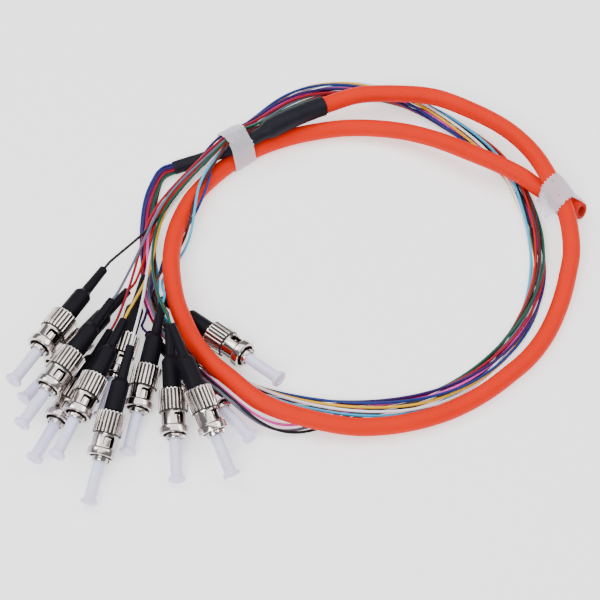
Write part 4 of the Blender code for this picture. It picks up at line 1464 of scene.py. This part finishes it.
    def free_end(
        self, roots: np.ndarray, stations: np.ndarray, ahead: np.ndarray, side: np.ndarray
    ) -> tuple[np.ndarray, list[list[int]]]:
        """The tape's free end, a thin drooping sheet with a saw-cut edge.

        Args:
            roots: (side, up) of the band's near side at each station.
            stations: how far along the strands those are.
            ahead: the way along the strands.
            side: the way across them.

        Returns:
            Its vertices and faces.
        """
        rows, columns = self.flap_rows, self.flap_columns
        along = np.linspace(-0.5, 0.5, rows) * self.width
        root = np.stack([np.interp(along, stations, roots[:, i]) for i in range(2)], axis=1)
        teeth = self.teeth(along)
        ripple = wave_noise(rows, columns, self.seed + 1, 7) * self.crease
        skins: list[np.ndarray] = []
        for half in (0.5, -0.5):
            for column in range(columns):
                share = column / (columns - 1)
                out = self.flap_root - self.flap * share - (share == 1.0) * self.serration * teeth
                up = self.flap_rise - self.flap_droop * share**2
                up = up + ripple[:, column] + half * self.thickness
                lowest = 2.5 * self.floor_gap + (half + 0.5) * self.thickness
                height = np.maximum(root[:, 1] + up, lowest)
                skins.append(
                    np.array(self.middle) + np.outer(along * (1 - self.flap_taper * share), ahead)
                    + np.outer(root[:, 0] + out, side) + np.outer(height, (0.0, 0.0, 1.0))
                )
        loop = [*range(columns), *range(2 * columns - 1, columns - 1, -1)]
        faces = []
        for a, b in zip(loop, loop[1:] + loop[:1]):
            for n in range(rows - 1):
                faces.append([a * rows + n, a * rows + n + 1, b * rows + n + 1, b * rows + n])
        for n in (0, rows - 1):
            faces.append([k * rows + n for k in loop])
        return np.concatenate(skins), faces


def hull_points(support: np.ndarray, angles: np.ndarray) -> np.ndarray:
    """The corners of a convex outline from how far it reaches in each direction.

    Args:
        support: how far it reaches in each direction.
        angles: the directions, evenly spaced.

    Returns:
        (side, up) of each corner.
    """
    before, gap = np.roll(support, 1), angles[1] - angles[0]
    a, b = angles - gap, angles
    x = (before * np.sin(b) - support * np.sin(a)) / math.sin(gap)
    y = (support * np.cos(a) - before * np.cos(b)) / math.sin(gap)
    return np.stack([x, y], axis=1)


@dataclass
class Connector:
    """The sizes and meshes of a bayonet connector, along X from the middle of its coupling nut.

    Args:
        nut_half: half the nut's length.
        grip_radius: radius over the ribs of its grip.
        grip_length: the grip's length.
        rib_depth: depth of the grooves between the ribs.
        rib_crown: how much lower a rib's edges are than its middle.
        rib_top: share of the ribs' spacing that a rib's top takes.
        rib_flank: share of half that spacing that each flank takes.
        rib_points: points of the mesh for each rib.
        ribs: how many ribs the grip has.
        neck_radius: radius of the neck that the windows are in.
        flange_radius: radius of the flange at the nut's front.
        flange_length: its length.
        nut_bore: radius inside the nut.
        shoulder_length: length of the shoulder that the housing holds.
        window_width: width of a window round the neck.
        window_length: its length along the nut.
        window_from_flange: how far it starts from the flange.
        window_turn: how far the nut is turned, in degrees.
        housing_radius: radius of the housing.
        housing_bore: radius inside it.
        housing_proud: how far it stands out of the nut.
        housing_bore_depth: how deep it is open.
        key_width: width of the housing's key.
        key_height: height of the key over the housing.
        key_length: its length.
        ferrule_radius: radius of the ferrule.
        ferrule_proud: how far it stands out of the housing.
        boot_radius: radius of the boot.
        boot_length: length of its round part.
        boot_shoulder: length of the step down to its tail.
        tail_radius: radius where the tail starts.
        tail_end_radius: radius where it ends.
        tail_length: the tail's length.
        tail_hole: radius of the hole that the fibre enters.
        tail_hole_depth: how deep that hole is.
        cap_radius: radius of the dust cap.
        cap_bore: radius inside it, a light push fit on the ferrule.
        cap_length: its length.
        cap_flange_radius: radius of its closed end.
        cap_flange_length: length of that.
        cap_dimple: depth of the dimple in the closed end.
    """

    nut_half: float = 0.0072
    grip_radius: float = 0.0046
    grip_length: float = 0.0075
    rib_depth: float = 0.00042
    rib_crown: float = 0.00009
    rib_top: float = 0.5
    rib_flank: float = 0.17
    rib_points: int = 12
    ribs: int = 22
    neck_radius: float = 0.00390
    flange_radius: float = 0.00465
    flange_length: float = 0.0023
    nut_bore: float = 0.0035
    shoulder_length: float = 0.0030
    window_width: float = 0.0034
    window_length: float = 0.0034
    window_from_flange: float = 0.0006
    window_turn: float = 60.0
    housing_radius: float = 0.0027
    housing_bore: float = 0.00225
    housing_proud: float = 0.0015
    housing_bore_depth: float = 0.0050
    key_width: float = 0.0009
    key_height: float = 0.0005
    key_length: float = 0.0013
    ferrule_radius: float = 0.00125
    ferrule_proud: float = 0.0055
    boot_radius: float = 0.0030
    boot_length: float = 0.0093
    boot_shoulder: float = 0.0016
    tail_radius: float = 0.00165
    tail_end_radius: float = 0.00140
    tail_length: float = 0.0106
    tail_hole: float = 0.00054
    tail_hole_depth: float = 0.0036
    cap_radius: float = 0.00185
    cap_bore: float = 0.00130
    cap_length: float = 0.0180
    cap_flange_radius: float = 0.0027
    cap_flange_length: float = 0.0013
    cap_dimple: float = 0.0004

    @property
    def boot_front(self) -> float:
        """Where the boot starts, just behind the nut."""
        return -self.nut_half - CLEARANCE

    @property
    def boot_end(self) -> float:
        """How far behind the nut's middle the boot's tail ends."""
        return -self.boot_front + self.boot_length + self.boot_shoulder + self.tail_length

    @property
    def housing_front(self) -> float:
        """How far before the nut's middle the housing ends."""
        return self.nut_half + self.housing_proud

    @property
    def bore_floor(self) -> float:
        """Where the floor of the housing's bore is."""
        return self.housing_front - self.housing_bore_depth

    @property
    def ferrule_tip(self) -> float:
        """How far before the nut's middle the ferrule ends."""
        return self.housing_front + self.ferrule_proud

    @property
    def cap_mouth(self) -> float:
        """Where the dust cap's mouth is, pushed home in the housing."""
        return self.bore_floor + CLEARANCE

    def stations(self) -> tuple[float, ...]:
        """Where the connector's outline changes, from the boot's tail to the cap's end."""
        shoulder = -self.nut_half - self.boot_length
        cap_end = self.cap_mouth + self.cap_length
        return -self.boot_end, shoulder, -self.nut_half, self.nut_half, cap_end

    def thickness(self) -> tuple[float, ...]:
        """The greatest radius between each two of those places."""
        return self.tail_radius, self.boot_radius, self.flange_radius, self.cap_flange_radius

    def ribbed(self, along: float, radius: float, angles: np.ndarray) -> np.ndarray:
        """Cuts the grooves between the grip's ribs.

        Args:
            along: where on the nut.
            radius: the plain radius there.
            angles: the directions of the ring's points.

        Returns:
            The radius in each direction.
        """
        front = self.grip_length - self.nut_half
        if not -self.nut_half < along < front + 1e-6:
            return np.full(len(angles), radius)
        across = np.abs((angles * self.ribs / (2 * math.pi)) % 1.0 - 0.5) * 2
        groove = np.clip((across - self.rib_top) / self.rib_flank, 0.0, 1.0) * self.rib_depth
        crown = np.minimum(across / self.rib_top, 1.0) ** 2 * self.rib_crown
        return np.minimum(radius, self.grip_radius - np.maximum(groove, crown))

    def nut(self) -> bpy.types.Mesh:
        """The coupling nut: a ribbed grip, a neck with two windows and a flange.

        Returns:
            Its mesh.
        """
        half = self.nut_half
        grip_front, flange_back = self.grip_length - half, half - self.flange_length
        shoulder_front = self.shoulder_length - half
        shaft = self.housing_radius + 0.5 * CLEARANCE
        outline = (
            Section(half, self.nut_bore, 0.00025),
            Section(half, self.flange_radius, 0.0004),
            Section(flange_back, self.flange_radius, 0.0003),
            Section(flange_back - 0.0003, self.neck_radius, 0.0003),
            Section(grip_front + 0.00035, self.neck_radius, 0.00025),
            Section(grip_front, self.neck_radius + 0.00008, 0.0),
            Section(grip_front - 0.00045, self.grip_radius, 0.0),
            Section(0.45 * (grip_front - half), self.grip_radius, 0.0),
            Section(-half + 0.00045, self.grip_radius, 0.0),
            Section(-half, self.grip_radius - 0.0005, 0.00008),
            Section(-half, shaft + 0.0005, 0.0001),
            Section(-half + 0.0004, shaft, 0.0),
            Section(shoulder_front, shaft, 0.0001),
            Section(shoulder_front, self.nut_bore, 0.0001),
        )
        sides = self.rib_points * self.ribs
        mesh = turned_mesh("ribbed_nut", outline, sides, closed=True, modulate=self.ribbed)
        nut = bpy.data.objects.new("nut_blank", mesh)
        window = bpy.data.objects.new("window_cutter", self.window())
        for obj in (nut, window):
            bpy.context.scene.collection.objects.link(obj)
        cut = nut.modifiers.new("windows", "BOOLEAN")
        cut.operation, cut.object, cut.solver = "DIFFERENCE", window, "EXACT"
        bpy.context.view_layer.update()
        graph = bpy.context.evaluated_depsgraph_get()
        whole = bpy.data.meshes.new_from_object(nut.evaluated_get(graph))
        for obj in (nut, window):
            bpy.data.objects.remove(obj)
        whole.name = "ribbed_nut_cut"
        whole.shade_smooth()
        whole.set_sharp_from_angle(angle=math.radians(30))
        dress(whole, Stock.NICKEL.value)

        def in_painted_bore_shade(middle: Vector) -> bool:
            """Whether a face is inside the nut, where the plating is rougher and painted darker as shade."""
            return math.hypot(middle.y, middle.z) < self.nut_bore + 0.00015

        # The faces inside the nut get a darker plating: painted shade in the bore
        finish_inside(whole, Stock.NICKEL_BORE_SHADE.value, in_painted_bore_shade)
        # Faces down between the ribs get a dark grey plating: painted shade in the grooves
        groove = self.grip_radius - 0.6 * self.rib_depth

        def in_painted_groove_shade(middle: Vector) -> bool:
            """Whether a face is down between two ribs, where shade is painted."""
            radius = math.hypot(middle.y, middle.z)
            return self.nut_bore + 0.0003 < radius < groove and 0.0003 - half < middle.x < grip_front - 0.0001

        finish_inside(whole, Stock.NICKEL_GROOVE_SHADE.value, in_painted_groove_shade)
        return whole

    def window(self) -> bpy.types.Mesh:
        """The cutter of the two windows: a bar with round corners, right through the neck.

        Returns:
            Its mesh.
        """
        shape = bmesh.new()
        size = (self.window_length, 2.4 * self.grip_radius, self.window_width)
        bmesh.ops.create_cube(shape, size=1.0, matrix=Matrix.Diagonal((*size, 1.0)))
        upright = [e for e in shape.edges if abs((e.verts[0].co - e.verts[1].co).y) > 0.001]
        bmesh.ops.bevel(shape, geom=upright, offset=0.0006, segments=4, affect="EDGES", profile=0.5)
        middle = self.nut_half - self.flange_length - self.window_from_flange - self.window_length / 2
        bmesh.ops.translate(shape, verts=shape.verts, vec=(middle, 0, 0))
        mesh = bpy.data.meshes.new("window_cutter")
        shape.to_mesh(mesh)
        shape.free()
        return mesh

    def boot(self) -> bpy.types.Mesh:
        """The rubber boot: a round body that steps down to a tapered tail, which the fibre enters.

        Returns:
            Its mesh.
        """
        front = self.boot_front
        shoulder = front - self.boot_length
        tail = shoulder - self.boot_shoulder
        end = tail - self.tail_length
        outline = (
            Section(front, 0.0),
            Section(front, self.boot_radius, 0.0003),
            Section(shoulder, self.boot_radius - 0.0001, 0.00035),
            Section(tail, self.tail_radius, 0.0006),
            Section(end, self.tail_end_radius, 0.00035),
            Section(end, self.tail_hole + 0.0001, 0.0001),
            Section(end + 0.0003, self.tail_hole, 0.0),
            Section(end + self.tail_hole_depth, self.tail_hole, 0.0),
            Section(end + self.tail_hole_depth, 0.0),
        )
        mesh = turned_mesh("rubber_boot", outline, 40)
        dress(mesh, Stock.BOOT.value)
        return mesh

    def housing(self) -> bpy.types.Mesh:
        """The metal housing that the nut turns on, with its key.

        Returns:
            Its mesh.
        """
        back, front = self.boot_front, self.housing_front
        floor = self.bore_floor

        def keyed(along: float, radius: float, angles: np.ndarray) -> np.ndarray:
            """Raises the key on the outside of the front."""
            on_key = front - self.key_length < along < front and radius > self.housing_bore + 0.0001
            half = self.key_width / 2 / self.housing_radius
            off = np.abs((angles + math.pi) % (2 * math.pi) - math.pi)
            lift = np.clip((half * 1.25 - off) / (half * 0.25), 0.0, 1.0) * self.key_height
            return radius + lift * on_key

        outline = (
            Section(back, 0.0),
            Section(back, self.housing_radius, 0.0001),
            Section(front - self.key_length - 0.00005, self.housing_radius, 0.0),
            Section(front - self.key_length + 0.0001, self.housing_radius, 0.0),
            Section(front - 0.00025, self.housing_radius, 0.0),
            Section(front, self.housing_radius - 0.00015, 0.00005),
            Section(front, self.housing_bore + 0.00012, 0.00005),
            Section(front - 0.0002, self.housing_bore, 0.0),
            Section(floor, self.housing_bore, 0.0001),
            Section(floor, 0.0),
        )
        mesh = turned_mesh("housing_barrel", outline, 72, modulate=keyed)
        dress(mesh, Stock.NICKEL.value)
        return mesh

    def ferrule(self) -> bpy.types.Mesh:
        """The ceramic ferrule, with its chamfered tip and the fibre's fine hole.

        Returns:
            Its mesh.
        """
        tip, radius = self.ferrule_tip, self.ferrule_radius
        outline = (
            Section(self.bore_floor - 0.0005, 0.0),
            Section(self.bore_floor - 0.0005, radius, 0.0001),
            Section(tip - 0.0006, radius, 0.0002),
            Section(tip - 0.00004, radius - 0.0003, 0.0001),
            Section(tip, 0.0003, 0.0002),
            Section(tip, 0.0),
        )
        mesh = turned_mesh("ceramic_ferrule", outline, 40)
        dress(mesh, Stock.CERAMIC.value)
        return mesh

    def cap(self) -> bpy.types.Mesh:
        """The dust cap: a blind tube over the ferrule, with a flange at its closed end.

        Returns:
            Its mesh.
        """
        mouth = self.cap_mouth
        end = mouth + self.cap_length
        inner = self.cap_bore
        blind = self.ferrule_tip + 2 * CLEARANCE
        flange = end - self.cap_flange_length
        outline = (
            Section(end - self.cap_dimple, 0.0),
            Section(end - self.cap_dimple, self.cap_flange_radius * 0.42, 0.0003),
            Section(end, self.cap_flange_radius * 0.52, 0.0002),
            Section(end, self.cap_flange_radius, 0.00035),
            Section(flange, self.cap_flange_radius, 0.0003),
            Section(flange, self.cap_radius, 0.0004),
            Section(mouth + 0.0004, self.cap_radius - 0.00003, 0.0001),
            Section(mouth, self.cap_radius - 0.0002, 0.00008),
            Section(mouth, inner + 0.00012, 0.00005),
            Section(mouth + 0.0003, inner, 0.0),
            Section(blind, inner, 0.0003),
            Section(blind, 0.0),
        )
        mesh = turned_mesh("dust_cap_moulding", outline, 48)
        dress(mesh, Stock.CAP.value)
        return mesh


CONNECTOR = Connector()


@dataclass
class Pigtails:
    """The twelve fibres and the connectors on their ends, which share their meshes.

    Args:
        sides: facets round a fibre.
        step: distance between its rings.
        into_sleeve: how far a fibre runs on into the sleeve's mouth.
        into_boot: how far it runs on into the boot's tail.
        connector: the connectors' sizes and meshes.
    """

    sides: int = 12
    step: float = 0.0016
    into_sleeve: float = 0.0036
    into_boot: float = 0.0030
    connector: Connector = field(default_factory=lambda: CONNECTOR)

    def __post_init__(self) -> None:
        """Makes the meshes that the connectors share."""
        self.nut, self.boot = self.connector.nut(), self.connector.boot()
        self.housing, self.ferrule = self.connector.housing(), self.connector.ferrule()
        self.cap = self.connector.cap()

    def build(self, lay: Lay) -> list[bpy.types.Object]:
        """Makes every fibre with what is on its end.

        Args:
            lay: how things lie.

        Returns:
            The fibres, each after its connector's pieces.
        """
        pieces: list[bpy.types.Object] = []
        for berth, line in zip(BERTHS, lay.fibres):
            on_end = self.connector_of(berth)
            pieces += [*on_end, self.fibre(berth, line, on_end)]
        return pieces

    def connector_of(self, berth: Berth) -> list[bpy.types.Object]:
        """Places one connector's pieces.

        Args:
            berth: where it lies.

        Returns:
            Its pieces.
        """
        name = berth.colour
        place = Matrix.Translation(-Vector(LAYOUT_ORIGIN)) @ berth.axes()
        turned_place = place @ Matrix.Rotation(math.radians(self.connector.window_turn), 4, "X")
        return [
            placed("boot_" + name, self.boot, "connector_body_" + name, place=place),
            placed("housing_" + name, self.housing, place=place),
            placed("ferrule_" + name, self.ferrule, place=place),
            placed(
                "ribbed_nut_" + name, self.nut, "coupling_nut_" + name,
                "nut_" + name, turned_place,
            ),
            placed("pull_cap_" + name, self.cap, "dust_cap_" + name, "cap_" + name, place),
        ]

    def fibre(
        self, berth: Berth, settled: np.ndarray, on_end: Sequence[bpy.types.Object]
    ) -> bpy.types.Object:
        """Makes a fibre from inside the sleeve's mouth to inside its boot.

        Args:
            berth: its connector's place.
            settled: its settled line.
            on_end: the connector's pieces.

        Returns:
            The fibre.
        """
        line = settled - LAYOUT_ORIGIN
        ahead = unit_steps(line)
        first = line[0] - ahead[0] * self.into_sleeve
        last = line[-1] + ahead[-1] * self.into_boot
        whole = spaced_line(smooth_line([first, *line, last], 6), lambda place: self.step)
        mesh = swept_mesh("coat_" + berth.colour, whole, np.full(len(whole), FIBRE_RADIUS), self.sides)
        dress(mesh, fibre_coat(berth))
        coat = placed("coat_" + berth.colour, mesh, "fibre_" + berth.colour)
        as_points(line[:1])[0]
        as_points([*whole[::2], whole[-1]])
        list(on_end)
        LOG.info("fibre %s: %.3f m long", berth.colour, length_of(whole))
        return coat


def facing(place: Vector, way: Vector) -> Matrix:
    """Where a camera or a light stands that looks along a way from a place."""
    return Matrix.Translation(place) @ way.to_track_quat("-Z", "Y").to_matrix().to_4x4()


@dataclass(frozen=True)
class Softbox:
    """A square soft light that faces the frame's origin.

    Args:
        name: the light's name.
        place: where it hangs.
        size: its width.
        watts: its power.
    """

    name: str
    place: Point
    size: float
    watts: float

    def hang(self) -> None:
        """Hangs the light."""
        data = bpy.data.lights.new(self.name, "AREA")
        data.shape, data.size, data.energy = "SQUARE", self.size, self.watts
        light = bpy.data.objects.new(self.name, data)
        at = Vector(self.place)
        light.matrix_world = facing(at, -at)
        bpy.context.scene.collection.objects.link(light)


SOFTBOXES = (
    Softbox("roof_softbox", (0.0, 0.28, 1.05), 1.30, 13.0),
    Softbox("key_softbox", (-0.30, -0.80, 0.85), 0.60, 12.0),
    Softbox("fill_softbox", (0.80, 0.10, 0.80), 0.55, 5.0),
    Softbox("left_softbox", (-0.75, 0.35, 0.85), 0.50, 5.0),
)


@dataclass
class Studio:
    """The floor, the soft lights, the sky and the camera.

    Args:
        away: the camera's distance from what it looks at.
        elevation: its height over the floor, in degrees.
        lens_mm: its focal length.
        sensor_mm: its sensor's width.
        floor_size: the floor's width.
        floor_glow: how strongly the paper glows, which keeps the shadows pale.
        sky: how strongly the sky lights the object.
        backdrop: how bright the sky is where the camera sees it past the floor.
    """

    away: float = 0.650
    elevation: float = 58.0
    lens_mm: float = 120.0
    sensor_mm: float = 36.0
    floor_size: float = 6.0
    floor_glow: float = 0.7
    sky: float = 0.28
    backdrop: float = 2.4

    def camera(self) -> None:
        """Puts the camera where the photograph was taken from."""
        target = -Vector(LAYOUT_ORIGIN)
        tilt = math.radians(self.elevation)
        eye = target + self.away * Vector((0.0, -math.cos(tilt), math.sin(tilt)))
        data = bpy.data.cameras.new("photo_view")
        data.lens, data.sensor_width = self.lens_mm, self.sensor_mm
        data.clip_start, data.clip_end = 0.01, 30.0
        camera = bpy.data.objects.new("photo_view", data)
        camera.matrix_world = facing(eye, target - eye)
        bpy.context.scene.collection.objects.link(camera)
        bpy.context.scene.camera = camera

    def room(self) -> None:
        """Lays the floor, hangs the lights and sets the soft sky."""
        self.lay_floor()
        for softbox in SOFTBOXES:
            softbox.hang()
        self.set_sky()

    def lay_floor(self) -> None:
        """Lays a sheet of matt white paper, which shows no gloss at all."""
        shape = bmesh.new()
        bmesh.ops.create_grid(shape, x_segments=1, y_segments=1, size=self.floor_size / 2)
        mesh = bpy.data.meshes.new("pale_floor")
        shape.to_mesh(mesh)
        shape.free()
        material = bpy.data.materials.new("white_paper_matt")
        material.use_nodes = True
        shader = material.node_tree.nodes["Principled BSDF"]
        shader.inputs["Base Color"].default_value = linear("#F8F8F8")
        shader.inputs["Roughness"].default_value = 0.9
        shader.inputs["Specular IOR Level"].default_value = 0.0
        shader.inputs["Emission Color"].default_value = linear("#FFFFFF")
        shader.inputs["Emission Strength"].default_value = self.floor_glow
        mesh.materials.append(material)
        floor = bpy.data.objects.new("pale_floor", mesh)
        bpy.context.scene.collection.objects.link(floor)

    def set_sky(self) -> None:
        """Sets a soft sky, with a bright backdrop where the camera looks past the floor."""
        world = bpy.data.worlds.new("soft_sky")
        world.use_nodes = True
        tree = world.node_tree
        sky = tree.nodes["Background"]
        sky.inputs["Color"].default_value = linear("#F4F6FA")
        sky.inputs["Strength"].default_value = self.sky
        backdrop = add_node(
            tree, "ShaderNodeBackground", {}, {"Color": linear("#FFFFFF"), "Strength": self.backdrop}
        )
        seen = add_node(tree, "ShaderNodeLightPath", {}, {}).outputs["Is Camera Ray"]
        either = add_node(
            tree, "ShaderNodeMixShader", {}, {0: seen, 1: sky.outputs[0], 2: backdrop.outputs[0]}
        )
        tree.links.new(either.outputs[0], tree.nodes["World Output"].inputs["Surface"])
        bpy.context.scene.world = world


def bands_of(lay: Lay) -> list[bpy.types.Object]:
    """Makes the two bands of tape round what they hold.

    Args:
        lay: how things lie.

    Returns:
        The bands.
    """
    trunk = (lay.trunk_curve, np.full(len(lay.trunk_curve), TRUNK_RADIUS))
    sleeve = (lay.sleeve, np.array(lay.sleeve_radii))
    fibres = [(line, np.full(len(line), FIBRE_RADIUS)) for line in lay.fibres]
    bundle = Band("tape_band_bundle", (-0.0210, 0.0561, 0.0), 33.0, serration=0.0005, seed=3)
    crossing = Band(
        "tape_band_crossing", (0.0860, 0.0355, 0.0), -50.0, width=0.0100, serration=0.0007,
        seed=8, flap=0.0042,
    )
    return [bundle.build([trunk, sleeve, *fibres]), crossing.build([trunk])]


def main() -> None:
    """Sets the camera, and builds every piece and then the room."""
    logging.basicConfig(level=logging.INFO)
    studio = Studio()
    studio.camera()
    lay = Lay()
    LOG.info("settled %d fibres", len(lay.fibres))
    pieces = [Sleeve().build(lay), Trunk().build(lay), *Pigtails().build(lay), *bands_of(lay)]
    for piece in pieces:
        LOG.info("%s: %d faces", piece.name, len(piece.data.polygons))
    studio.room()
    bpy.context.view_layer.update()


if __name__ == "__main__":
    main()
